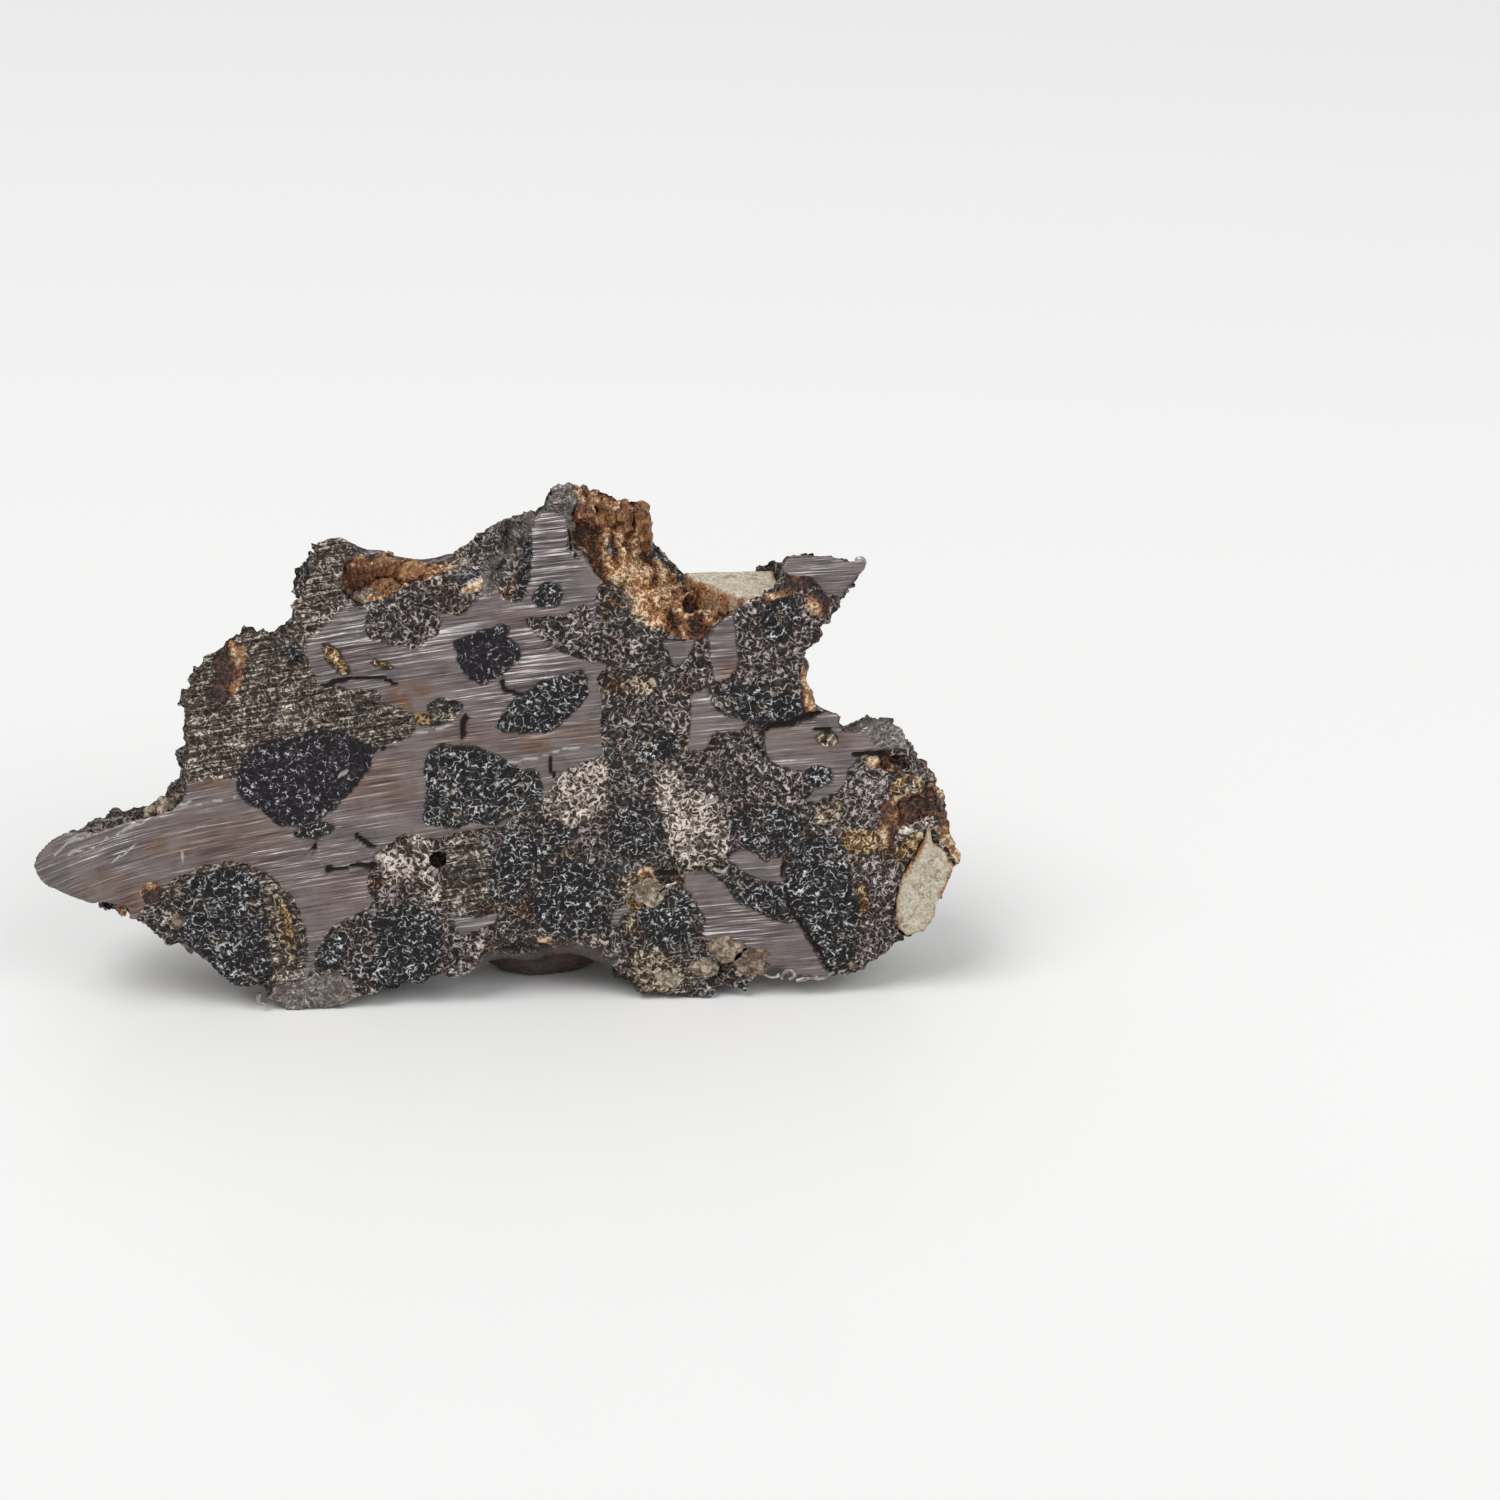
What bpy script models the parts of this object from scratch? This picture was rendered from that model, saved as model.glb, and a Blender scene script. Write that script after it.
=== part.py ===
"""A small slice of a pallasite meteorite, standing on its lower broken edge.

The stone is two parallel saw cuts through nickel-iron metal with olivine crystals
grown in it. Between the cuts runs a broken rim. The rim is lofted from the edge of
the front cut to the edge of the back cut, crystals are fused on to it, hollows are
cut out of it, and the two saw cuts and the resting facets are cut last.

Millimetres in the lists below: x to the right, z up, y is the depth behind the
front cut. The model itself is in metres, centred over its base.
"""

import math
import random

import bmesh
import bpy
from mathutils import Matrix, Vector, noise

MM = 0.001

# Driving dimensions
THICKNESS = 2.7
LEFT_TIP = -10.74
RIGHT_TIP = 10.73
SAW_OVERRUN = 0.45
RIM_RINGS = 5
JAG_DEPTH = 0.55
JAG_BLUR = 3
BROAD_CRAG = 0.42
BROAD_CRAG_LENGTH = 1.05
FINE_CRAG = 0.14
FINE_CRAG_LENGTH = 0.42
CRAG_START = 0.25
LIFT_LIMIT = 0.1
LUMP_WANDER = 1.7
CRYSTAL_CORNERS = 11
CRYSTAL_REACH = 1.08
CRYSTAL_LEAST_REACH = 0.86
CRYSTAL_SWING = 0.5
RIM_CRYSTAL_COUNT = 46
RIM_CRYSTAL_RADIUS = (0.42, 0.85)
RIM_CRYSTAL_DEPTH = (0.32, 0.86)
RIM_CRYSTAL_STRETCH = (0.8, 1.2)
RIM_CRYSTAL_JITTER = (0.15, 0.85)
EDGE_REACH = 3
UPWARD = 0.2
RIM_CRYSTAL_SINK_ABOVE = 0.55
RIM_CRYSTAL_SINK_BELOW = 0.3
SAW_BLOCK = (40.0, 20.0)
HOLLOW_ROUGHNESS = 0.12
LUMP_ROUGHNESS = 0.06
HOLLOW_DETAIL = 2
LUMP_DETAIL = 3
SEED = 11

# The rim, clockwise from the left tip. Each stretch has the edge of the front cut
# and the edge of the back cut, as (x, z).
RIM = {
    "tip_top": (
        [
            (-10.74, 4.0), (-10.68, 4.22), (-10.57, 4.39), (-10.35, 4.64), (-10.1, 4.78),
            (-9.88, 4.89), (-9.46, 4.86), (-9.21, 4.81), (-8.99, 4.92), (-8.75, 5.0),
            (-8.49, 5.1), (-7.93, 5.2), (-7.49, 5.35), (-7.2, 5.65),
        ],
        [(-10.2, 3.5), (-9.6, 3.9), (-9.0, 3.95), (-8.4, 4.35), (-7.8, 4.5), (-7.35, 4.95)],
    ),
    "left_shoulder": (
        [
            (-7.16, 5.94), (-7.16, 6.2), (-7.08, 6.5), (-7.02, 6.86), (-7.09, 7.24),
            (-7.0, 7.8), (-7.27, 7.91), (-7.29, 8.02), (-7.02, 8.36), (-7.1, 8.61),
            (-6.77, 8.97), (-6.66, 9.19), (-6.32, 9.36), (-6.04, 9.63), (-5.66, 9.69),
            (-5.18, 9.81), (-4.95, 9.5), (-4.77, 9.69),
        ],
        [(-7.25, 5.4), (-7.3, 6.6), (-7.0, 7.4), (-6.6, 8.1), (-5.9, 8.35), (-5.0, 8.15)],
    ),
    "horn": (
        [
            (-4.52, 9.97), (-4.59, 10.36), (-4.46, 10.55), (-4.18, 10.97), (-4.1, 11.3),
            (-4.04, 11.52), (-4.13, 11.74), (-4.04, 11.88), (-3.88, 11.97), (-3.42, 12.05),
            (-3.19, 12.02), (-2.97, 11.72), (-3.2, 11.4), (-3.4, 11.0), (-3.45, 10.65),
            (-3.25, 10.4),
        ],
        [(-4.55, 8.7), (-4.4, 9.8), (-4.2, 10.6), (-3.7, 10.85), (-3.1, 10.65)],
    ),
    "pocket": (
        [
            (-2.95, 10.2), (-2.5, 10.35), (-2.28, 10.65), (-1.83, 10.88), (-1.39, 10.95),
            (-0.9, 11.1), (-0.3, 11.3),
        ],
        [(-2.75, 10.65), (-2.3, 10.6), (-1.74, 10.41), (-1.3, 10.25), (-0.67, 10.7), (-0.23, 10.9)],
    ),
    "groove": (
        [(-0.15, 10.95), (0.1, 10.6), (0.5, 10.55), (0.68, 10.85), (0.74, 11.4), (0.77, 12.1)],
        [(0.0, 11.1), (0.35, 11.35), (0.7, 11.65)],
    ),
    "crest": (
        [(0.85, 12.4), (1.15, 12.5), (1.45, 12.5), (1.63, 12.35)],
        [(0.85, 11.75), (1.73, 11.85)],
    ),
    "rusty_bowl": (
        [
            (1.76, 12.05), (1.78, 11.58), (2.03, 11.19), (2.39, 10.91), (2.56, 10.47),
            (2.94, 9.97), (3.39, 9.52), (3.94, 9.36), (4.51, 9.35), (4.75, 9.6),
        ],
        [
            (2.0, 12.0), (2.3, 12.0), (2.65, 11.8), (3.34, 11.82), (3.64, 11.55),
            (3.68, 11.1), (3.93, 10.56), (4.24, 10.25), (4.4, 9.9), (4.97, 9.8),
        ],
    ),
    "pale_saddle": (
        [(5.1, 9.8), (5.4, 10.03), (5.75, 10.22), (6.05, 10.3), (6.3, 10.5)],
        [(5.3, 9.8), (5.83, 9.77), (6.3, 9.85)],
    ),
    "spike": (
        [
            (6.38, 10.8), (6.33, 11.08), (6.43, 11.27), (6.62, 11.36), (6.9, 11.37),
            (7.29, 11.3), (7.54, 11.33), (7.79, 11.22), (8.01, 11.16), (8.27, 11.25),
            (8.38, 11.1), (8.37, 10.97), (8.23, 10.72), (8.01, 10.52), (7.76, 10.22),
            (7.59, 9.91),
        ],
        [(6.5, 9.95), (6.9, 10.15), (7.4, 10.1), (7.75, 9.8), (7.8, 9.5)],
    ),
    "right_cliff": (
        [
            (7.48, 9.66), (7.34, 9.52), (7.26, 9.36), (7.12, 9.11), (6.98, 8.77),
            (7.01, 8.55), (7.01, 8.19), (7.23, 7.91), (7.26, 7.69), (7.51, 7.58),
            (7.79, 7.47), (7.9, 7.33), (7.84, 7.16), (7.9, 6.99),
        ],
        [(7.4, 9.1), (7.0, 8.4), (6.85, 7.6), (6.95, 6.6), (7.5, 5.9)],
    ),
    "band_end": (
        [
            (8.21, 6.91), (8.32, 7.05), (8.62, 7.19), (8.87, 7.27), (9.12, 7.19),
            (9.32, 7.05), (9.4, 6.88), (9.37, 6.74), (9.48, 6.47), (9.57, 6.2),
            (9.57, 5.94), (9.71, 5.75), (9.82, 5.57), (10.12, 5.47),
        ],
        [(8.2, 5.75), (8.9, 6.05), (9.3, 5.8), (9.6, 5.25), (10.05, 4.85)],
    ),
    "right_end": (
        [
            (10.18, 5.17), (10.26, 4.92), (10.26, 4.72), (10.34, 4.5), (10.51, 4.22),
            (10.62, 3.89), (10.73, 3.56), (10.62, 3.44), (10.51, 3.11), (10.34, 2.81),
            (10.21, 2.5), (10.15, 2.17), (10.07, 1.89), (9.9, 1.67), (9.57, 1.5),
            (9.29, 1.33), (9.07, 1.11), (8.84, 0.94), (8.68, 0.83), (8.54, 0.61),
            (8.32, 0.46),
        ],
        [(10.25, 4.6), (10.5, 3.7), (10.35, 2.6), (9.9, 1.7), (9.2, 1.25), (8.4, 0.75)],
    ),
    "lower_right": (
        [
            (8.12, 0.53), (7.84, 0.46), (7.34, 0.36), (7.18, 0.44), (6.84, 0.5),
            (6.68, 0.47), (6.57, 0.61), (6.4, 0.78), (6.01, 0.89),
        ],
        [(8.0, 0.65), (7.3, 0.45), (6.7, 0.6), (6.1, 0.8)],
    ),
    "right_foot": (
        [
            (5.96, 0.61), (5.82, 0.33), (5.71, 0.12), (5.4, 0.19), (5.07, 0.33),
            (4.98, 0.15), (4.88, -0.05), (4.51, -0.08), (4.12, -0.03), (4.01, 0.17),
            (3.73, 0.14), (3.4, 0.1), (3.17, 0.08), (3.03, 0.28), (2.92, 0.56),
        ],
        [(5.7, 0.4), (5.3, 0.0), (4.7, -0.15), (4.0, -0.2), (3.4, -0.1), (2.9, 0.2)],
    ),
    "under_arch": (
        [
            (2.67, 0.67), (2.56, 0.95), (2.3, 1.25), (1.9, 1.5), (1.4, 1.65),
            (0.9, 1.55), (0.4, 1.35), (0.0, 1.15), (-0.4, 1.05), (-0.83, 0.85),
            (-1.22, 0.72), (-1.61, 0.81), (-1.83, 0.67), (-2.11, 0.58), (-2.5, 0.53),
            (-2.78, 0.56), (-2.97, 0.39), (-3.28, 0.31), (-3.5, 0.35),
        ],
        [
            (2.6, 0.35), (2.1, 0.1), (1.5, -0.15), (0.8, -0.2), (0.2, -0.1),
            (-0.4, 0.2), (-1.0, 0.55), (-1.8, 0.7), (-2.7, 0.55), (-3.4, 0.4),
        ],
    ),
    "left_foot": (
        [
            (-3.56, 0.22), (-3.75, 0.04), (-4.16, -0.07), (-4.7, -0.08), (-5.14, -0.06),
            (-5.21, 0.06), (-5.43, 0.22), (-5.71, 0.36), (-5.52, 0.58), (-5.6, 0.67),
        ],
        [(-3.6, 0.15), (-4.0, -0.12), (-4.6, -0.18), (-5.2, -0.05), (-5.6, 0.35)],
    ),
    "lower_left": (
        [
            (-5.82, 0.67), (-6.13, 0.53), (-6.38, 0.67), (-6.6, 0.89), (-6.77, 1.06),
            (-6.93, 1.33), (-7.16, 1.5), (-7.38, 1.72), (-7.6, 1.86), (-7.72, 1.65),
            (-7.91, 1.75), (-8.02, 2.03), (-8.21, 2.25), (-8.35, 2.51), (-8.66, 2.58),
            (-8.77, 2.86), (-9.04, 2.97), (-9.38, 2.89), (-9.82, 3.11), (-10.16, 3.28),
            (-10.46, 3.42), (-10.6, 3.58), (-10.68, 3.81),
        ],
        [
            (-6.0, 0.6), (-6.7, 1.0), (-7.4, 1.35), (-8.1, 1.4), (-8.8, 1.55),
            (-9.5, 1.9), (-10.0, 2.6), (-10.2, 3.1),
        ],
    ),
}

# Crystals and lumps with a place of their own: centre (x, depth, z), radii (x, depth, z)
PLACED_CRYSTALS = {
    "rust_column_1": ((1.95, 1.75, 11.75), (0.3, 0.34, 0.62)),
    "rust_column_2": ((2.45, 1.95, 11.45), (0.28, 0.36, 0.72)),
    "rust_column_3": ((2.95, 2.05, 11.3), (0.3, 0.36, 0.74)),
    "rust_column_4": ((3.38, 2.1, 11.05), (0.27, 0.4, 0.78)),
    "rust_grain_1": ((2.85, 0.95, 10.35), (0.36, 0.4, 0.34)),
    "rust_grain_2": ((3.45, 1.2, 10.2), (0.38, 0.42, 0.42)),
    "rust_grain_3": ((3.85, 0.75, 9.6), (0.36, 0.4, 0.34)),
    "rust_grain_4": ((4.35, 1.3, 9.85), (0.34, 0.4, 0.36)),
    "rust_grain_5": ((4.7, 0.65, 9.65), (0.3, 0.34, 0.3)),
    "pocket_fold_1": ((-2.7, 1.0, 10.35), (0.42, 0.5, 0.36)),
    "pocket_fold_2": ((-2.0, 1.5, 10.5), (0.4, 0.46, 0.36)),
    "pocket_fold_3": ((-1.45, 0.95, 10.55), (0.4, 0.44, 0.32)),
    "pale_plate": ((5.75, 1.35, 9.85), (0.62, 0.8, 0.42)),
    "crest_knob": ((2.05, 1.7, 11.8), (0.42, 0.6, 0.34)),
    "foot_crystal_1": ((3.55, 0.75, 0.75), (0.62, 0.7, 0.72)),
    "foot_crystal_2": ((4.55, 0.5, 0.45), (0.5, 0.5, 0.5)),
    "foot_crystal_3": ((5.5, 0.7, 0.62), (0.48, 0.55, 0.5)),
    "ledge_crystal": ((5.05, 0.5, 1.2), (0.5, 0.42, 0.34)),
    "underside_crystal": ((-9.1, 1.15, 2.45), (0.62, 0.6, 0.42)),
    "band_crystal": ((8.75, 1.3, 6.35), (0.5, 0.55, 0.4)),
    "cliff_crystal": ((6.75, 1.5, 8.5), (0.5, 0.6, 0.5)),
    "end_crystal": ((10.05, 1.5, 4.3), (0.5, 0.55, 0.6)),
}
SMOOTH_LUMPS = {
    "back_bulge": ((1.0, 1.95, 0.85), (1.75, 0.95, 1.05)),
}

# Rounded hollows in the front cut and the rim, given the same way
HOLLOWS = {
    "pocket_crease": ((-2.35, 1.15, 11.05), (0.5, 0.75, 0.5)),
    "groove_hollow": ((0.3, 0.55, 11.45), (0.3, 0.75, 0.75)),
    "bowl_hollow": ((2.7, 0.3, 11.5), (0.62, 0.85, 0.95)),
    "under_band_recess": ((8.5, 0.0, 6.2), (0.42, 0.4, 0.08)),
    "under_band_gap": ((9.12, 0.0, 6.06), (0.4, 0.42, 0.13)),
    "rusty_chip": ((9.75, -0.25, 4.9), (0.85, 0.5, 0.75)),
    "arch_chip": ((0.5, -0.15, 0.95), (1.35, 0.62, 0.72)),
    "tip_chip": ((-9.3, -0.1, 2.7), (0.8, 0.5, 0.3)),
    "round_hole": ((-1.5, 0.0, 3.87), (0.16, 0.5, 0.16)),
    "small_pit": ((-4.45, 0.0, 8.95), (0.13, 0.3, 0.18)),
    "slit_upper": ((5.0, 0.0, 9.02), (0.22, 0.25, 0.06)),
    "slit_lower": ((5.05, 0.0, 8.66), (0.18, 0.25, 0.05)),
    "foot_gap": ((5.0, 0.0, 0.75), (0.2, 0.35, 0.12)),
}

# Places where a whole crystal fell out of the back cut
LOST_CRYSTALS = {
    "lost_crystal_1": ((-3.9, 2.75, 6.4), (1.25, 0.55, 0.9)),
    "lost_crystal_2": ((3.6, 2.8, 7.3), (0.85, 0.5, 1.2)),
    "lost_crystal_3": ((7.3, 2.8, 2.9), (1.05, 0.48, 0.8)),
    "lost_crystal_4": ((-0.5, 2.75, 9.2), (0.65, 0.38, 0.72)),
    "lost_crystal_5": ((-7.2, 2.75, 3.2), (0.8, 0.42, 0.6)),
}


def clear_scene():
    for old in list(bpy.data.objects):
        bpy.data.objects.remove(old)


def add_collection(name):
    collection = bpy.data.collections.new(name)
    bpy.context.scene.collection.children.link(collection)
    return collection


def add_object(name, mesh_builder, collection, helper=False):
    """An object from a bmesh that was built in millimetres."""
    mesh_builder.transform(Matrix.Scale(MM, 4) @ Matrix.Translation((0, -THICKNESS / 2, 0)))
    mesh = bpy.data.meshes.new(name)
    mesh_builder.to_mesh(mesh)
    mesh_builder.free()
    made = bpy.data.objects.new(name, mesh)
    collection.objects.link(made)
    if helper:
        made.hide_render = True
        made.display_type = "WIRE"
    return made


def along(points, share):
    """The point at this share of the length of a line through the points."""
    spans = [math.dist(a, b) for a, b in zip(points, points[1:])]
    left = share * sum(spans)
    for start, end, span in zip(points, points[1:], spans):
        if left <= span:
            return Vector(start).lerp(Vector(end), left / span)
        left -= span
    return Vector(points[-1])


def rim_stations():
    """Pairs of (front, back) points, one for each point of the front cut's edge."""
    stations = []
    for front, back in RIM.values():
        spans = [0.0]
        for a, b in zip(front, front[1:]):
            spans.append(spans[-1] + math.dist(a, b))
        stations += [(Vector(p), along(back, s / spans[-1])) for p, s in zip(front, spans)]
    return stations


def noise_shift(place, length, reach):
    """A smooth random shift, up to about reach, that changes over this length."""
    offsets = (Vector((0, 0, 0)), Vector((17.3, 5.1, 9.7)), Vector((3.9, 23.2, 31.4)))
    return Vector(noise.noise(place / length + offset) * reach for offset in offsets)


def blurred(stations, at):
    """The front edge at this station without its smallest jags."""
    near = [stations[(at + i) % len(stations)][0] for i in range(-JAG_BLUR, JAG_BLUR + 1)]
    return sum(near, Vector((0, 0))) / len(near)


def rim_point(stations, at, depth):
    """A point of the broken rim at this station and depth."""
    front, back = stations[at]
    share = min(max(depth / THICKNESS, 0.0), 1.0)
    jagged = max(0.0, 1 - depth / JAG_DEPTH)
    edge = blurred(stations, at).lerp(front, min(jagged, 1.0))
    flat = edge.lerp(back, share)
    place = Vector((flat.x, depth, flat.y))
    shift = noise_shift(place, BROAD_CRAG_LENGTH, BROAD_CRAG)
    shift += noise_shift(place, FINE_CRAG_LENGTH, FINE_CRAG)
    shift *= min(share / CRAG_START, 1.0)
    shift.z = min(shift.z, LIFT_LIMIT)
    place += shift
    place.x = min(max(place.x, LEFT_TIP), RIGHT_TIP)
    return place


def build_body(collection):
    """The slab of stone, lofted through rings that run round the rim."""
    stations = rim_stations()
    between = [THICKNESS * (i + 1) / (RIM_RINGS + 1) for i in range(RIM_RINGS)]
    depths = [-SAW_OVERRUN, 0.0, *between, THICKNESS, THICKNESS + SAW_OVERRUN]
    bm = bmesh.new()
    every = range(len(stations))
    rings = [[bm.verts.new(rim_point(stations, at, depth)) for at in every] for depth in depths]
    for near, far in zip(rings, rings[1:]):
        for i in range(len(near)):
            bm.faces.new((near[i - 1], near[i], far[i], far[i - 1]))
    bm.faces.new(rings[0])
    bm.faces.new(rings[-1])
    bmesh.ops.recalc_face_normals(bm, faces=bm.faces)
    bmesh.ops.triangulate(bm, faces=bm.faces)
    return add_object("meteorite_slice", bm, collection)


def add_crystal(name, centre, radii, rng, collection):
    """A crystal with flat faces: the hull of a few corners on an ellipsoid."""
    bm = bmesh.new()
    turn = Matrix.Rotation(rng.uniform(0, math.tau), 3, "X")
    turn = turn @ Matrix.Rotation(rng.uniform(0, math.tau), 3, "Z")
    golden = math.pi * (3 - math.sqrt(5))
    for i in range(CRYSTAL_CORNERS):
        height = 1 - 2 * (i + 0.5) / CRYSTAL_CORNERS
        ring = math.sqrt(1 - height * height)
        swing = golden * i + rng.uniform(-CRYSTAL_SWING, CRYSTAL_SWING)
        corner = turn @ Vector((ring * math.cos(swing), ring * math.sin(swing), height))
        corner *= rng.uniform(CRYSTAL_LEAST_REACH, CRYSTAL_REACH)
        bm.verts.new(Vector(centre) + Vector(c * r for c, r in zip(corner, radii)))
    hull = bmesh.ops.convex_hull(bm, input=bm.verts)
    spare = {g for g in hull["geom_interior"] + hull["geom_unused"] if isinstance(g, bmesh.types.BMVert)}
    bmesh.ops.delete(bm, geom=list(spare), context="VERTS")
    bmesh.ops.recalc_face_normals(bm, faces=bm.faces)
    return add_object(name, bm, collection, helper=True)


def add_ellipsoid(name, centre, radii, roughness, detail, collection):
    """A rounded lump or hollow whose surface wanders a little."""
    bm = bmesh.new()
    bmesh.ops.create_icosphere(bm, subdivisions=detail, radius=1.0)
    for vert in bm.verts:
        wander = 1 + roughness * noise.noise(vert.co * LUMP_WANDER + Vector(centre))
        vert.co = Vector(centre) + Vector(c * r * wander for c, r in zip(vert.co, radii))
    return add_object(name, bm, collection, helper=True)


def add_rim_crystals(rng, collection):
    """Small crystals scattered along the broken rim, sunk for most of their size."""
    stations = rim_stations()
    step = len(stations) / RIM_CRYSTAL_COUNT
    for i in range(RIM_CRYSTAL_COUNT):
        at = int((i + rng.uniform(*RIM_CRYSTAL_JITTER)) * step) % len(stations)
        depth = rng.uniform(*RIM_CRYSTAL_DEPTH) * THICKNESS
        before, after = stations[at - EDGE_REACH], stations[(at + EDGE_REACH) % len(stations)]
        place = rim_point(stations, at, depth)
        share = depth / THICKNESS
        edge = after[0].lerp(after[1], share) - before[0].lerp(before[1], share)
        outward = Vector((-edge.y, 0, edge.x)).normalized()
        radius = rng.uniform(*RIM_CRYSTAL_RADIUS)
        sink = RIM_CRYSTAL_SINK_ABOVE if outward.z > UPWARD else RIM_CRYSTAL_SINK_BELOW
        centre = place - outward * radius * sink
        radii = [radius * rng.uniform(*RIM_CRYSTAL_STRETCH) for _ in range(3)]
        reach = radii[0] * CRYSTAL_REACH
        if LEFT_TIP + reach < centre.x < RIGHT_TIP - reach:
            add_crystal(f"rim_crystal_{i + 1}", centre, radii, rng, collection)


def add_saw_block(collection):
    """What the two saw cuts and the surface below leave of the stone."""
    bm = bmesh.new()
    bmesh.ops.create_cube(bm, size=1.0)
    wide, high = SAW_BLOCK
    size = Matrix.Diagonal((wide, THICKNESS, high, 1))
    bm.transform(Matrix.Translation((0, THICKNESS / 2, high / 2)) @ size)
    return add_object("saw_block", bm, collection, helper=True)


def join_with(body, name, operation, operand):
    boolean = body.modifiers.new(name, "BOOLEAN")
    boolean.operation = operation
    boolean.solver = "EXACT"
    if isinstance(operand, bpy.types.Collection):
        boolean.operand_type = "COLLECTION"
        boolean.collection = operand
    else:
        boolean.object = operand


def meteorite_material():
    material = bpy.data.materials.new("meteorite")
    material.use_nodes = True
    shader = material.node_tree.nodes["Principled BSDF"]
    shader.inputs["Base Color"].default_value = (0.17, 0.15, 0.135, 1)
    shader.inputs["Metallic"].default_value = 0.55
    shader.inputs["Roughness"].default_value = 0.5
    return material


def main():
    clear_scene()
    rng = random.Random(SEED)
    stone = add_collection("pallasite_meteorite_slice")
    crystals = add_collection("fused_crystals")
    hollows = add_collection("hollows")
    saw = add_collection("saw_cuts")
    body = build_body(stone)
    body.data.materials.append(meteorite_material())
    for name, (centre, radii) in PLACED_CRYSTALS.items():
        add_crystal(name, centre, radii, rng, crystals)
    for name, (centre, radii) in SMOOTH_LUMPS.items():
        add_ellipsoid(name, centre, radii, LUMP_ROUGHNESS, LUMP_DETAIL, crystals)
    add_rim_crystals(rng, crystals)
    for name, (centre, radii) in HOLLOWS.items():
        add_ellipsoid(name, centre, radii, HOLLOW_ROUGHNESS, HOLLOW_DETAIL, hollows)
    for name, (centre, radii) in LOST_CRYSTALS.items():
        add_crystal(name, centre, radii, rng, hollows)
    join_with(body, "fuse crystals", "UNION", crystals)
    join_with(body, "open hollows", "DIFFERENCE", hollows)
    join_with(body, "saw cuts", "INTERSECT", add_saw_block(saw))


main()
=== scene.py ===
"""The looks of a small pallasite slice: saw-marked metal, dark and pale olivine,
granular weathered stone and rust, on a pale floor in soft studio light."""

import math
from itertools import product
from types import SimpleNamespace

import bmesh
import bpy
import numpy as np
from mathutils import Matrix, Vector


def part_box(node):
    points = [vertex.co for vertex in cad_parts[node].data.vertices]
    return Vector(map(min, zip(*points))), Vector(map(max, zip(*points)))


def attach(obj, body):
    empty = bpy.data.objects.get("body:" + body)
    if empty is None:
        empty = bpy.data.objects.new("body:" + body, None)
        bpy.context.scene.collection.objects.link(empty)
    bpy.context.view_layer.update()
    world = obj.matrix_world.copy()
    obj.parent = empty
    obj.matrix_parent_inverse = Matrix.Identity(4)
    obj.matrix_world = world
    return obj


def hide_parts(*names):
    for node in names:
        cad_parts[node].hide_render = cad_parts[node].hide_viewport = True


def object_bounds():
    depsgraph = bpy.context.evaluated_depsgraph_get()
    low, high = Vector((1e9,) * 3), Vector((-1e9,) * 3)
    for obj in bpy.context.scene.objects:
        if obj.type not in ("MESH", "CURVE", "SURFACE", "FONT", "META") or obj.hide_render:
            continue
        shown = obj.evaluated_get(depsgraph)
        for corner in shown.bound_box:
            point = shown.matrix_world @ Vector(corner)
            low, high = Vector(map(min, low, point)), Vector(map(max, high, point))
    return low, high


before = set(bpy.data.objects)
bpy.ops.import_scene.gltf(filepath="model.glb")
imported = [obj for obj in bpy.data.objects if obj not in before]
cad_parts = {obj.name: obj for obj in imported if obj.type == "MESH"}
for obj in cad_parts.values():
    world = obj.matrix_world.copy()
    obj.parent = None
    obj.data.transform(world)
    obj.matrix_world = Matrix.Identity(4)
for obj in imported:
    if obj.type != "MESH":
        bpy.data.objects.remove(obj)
cad_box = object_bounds()

MM = 0.001
CAD_NODE = "meteorite_slice"
FRONT, BACK = (corner[1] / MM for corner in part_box(CAD_NODE))
THICKNESS = BACK - FRONT

# The camera: place in mm, angles in degrees
CAMERA_PLACE = (0.148, FRONT - 70.53, 39.63)
CAMERA_HEADING = -4.53
CAMERA_DIP = 25.07
CAMERA_ROLL = 0.61
SENSOR = 36.0
LENS = 81.67

# The detailed meshes, in mm
VOXEL = 0.08
CRYSTAL_VOXEL = 0.05

# The pale crystals' pockets: how far they reach out of the stone, how far a crystal sinks in
POCKET_REACH = 1.5
SINK = 0.03

# The relief, in mm: depth of the cracks and the saw lines, height of the folds in the rust,
# width of one saw line
CRACK_DEPTH = 0.09
SAW_DEPTH = 0.012
FOLD_HEIGHT = 0.09
SAW_PITCH = 0.11

# How much an outline on a cut shrinks for each mm of depth behind it
TAPER = 0.3

# The crystals of the back cut, tried at random places of a field and kept where there is room
BACK_SEED = 5
BACK_TRIES = 900
BACK_FIELD = ((-10, 0.4), (10, 11.5))
BACK_RADII = (0.55, 1.35)
BACK_SPACING = 0.85
BACK_CORNERS = 11
BACK_KINDS = ("dark", "dark", "dark", "brown", "grain", "brown", "bright", "dark", "beige")

# The studio: the floor's half width in metres and, in mm, where its painted shade starts and is full.
# Each softbox has its place and size in mm and its power in watts.
FLOOR_HALF = 1.5
FLOOR_SHADE = (-4.0, -40.0)
WORLD_STRENGTH = 0.54
LIT_PLACE = (0, 0, 5)
SOFTBOXES = {
    "key": ((-420, -330, 940), (560, 560), 6.1),
    "fill": ((560, -520, 640), (500, 500), 2.5),
}


def ellipse(x, z, wide, high, tilt=0.0, corners=12):
    """Corners of a tilted ellipse on the cut."""
    swing = math.radians(tilt)
    cos, sin = math.cos(swing), math.sin(swing)
    points = []
    for i in range(corners):
        turn = math.tau * i / corners
        a, b = wide * math.cos(turn), high * math.sin(turn)
        points.append((x + a * cos - b * sin, z + a * sin + b * cos))
    return points


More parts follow.
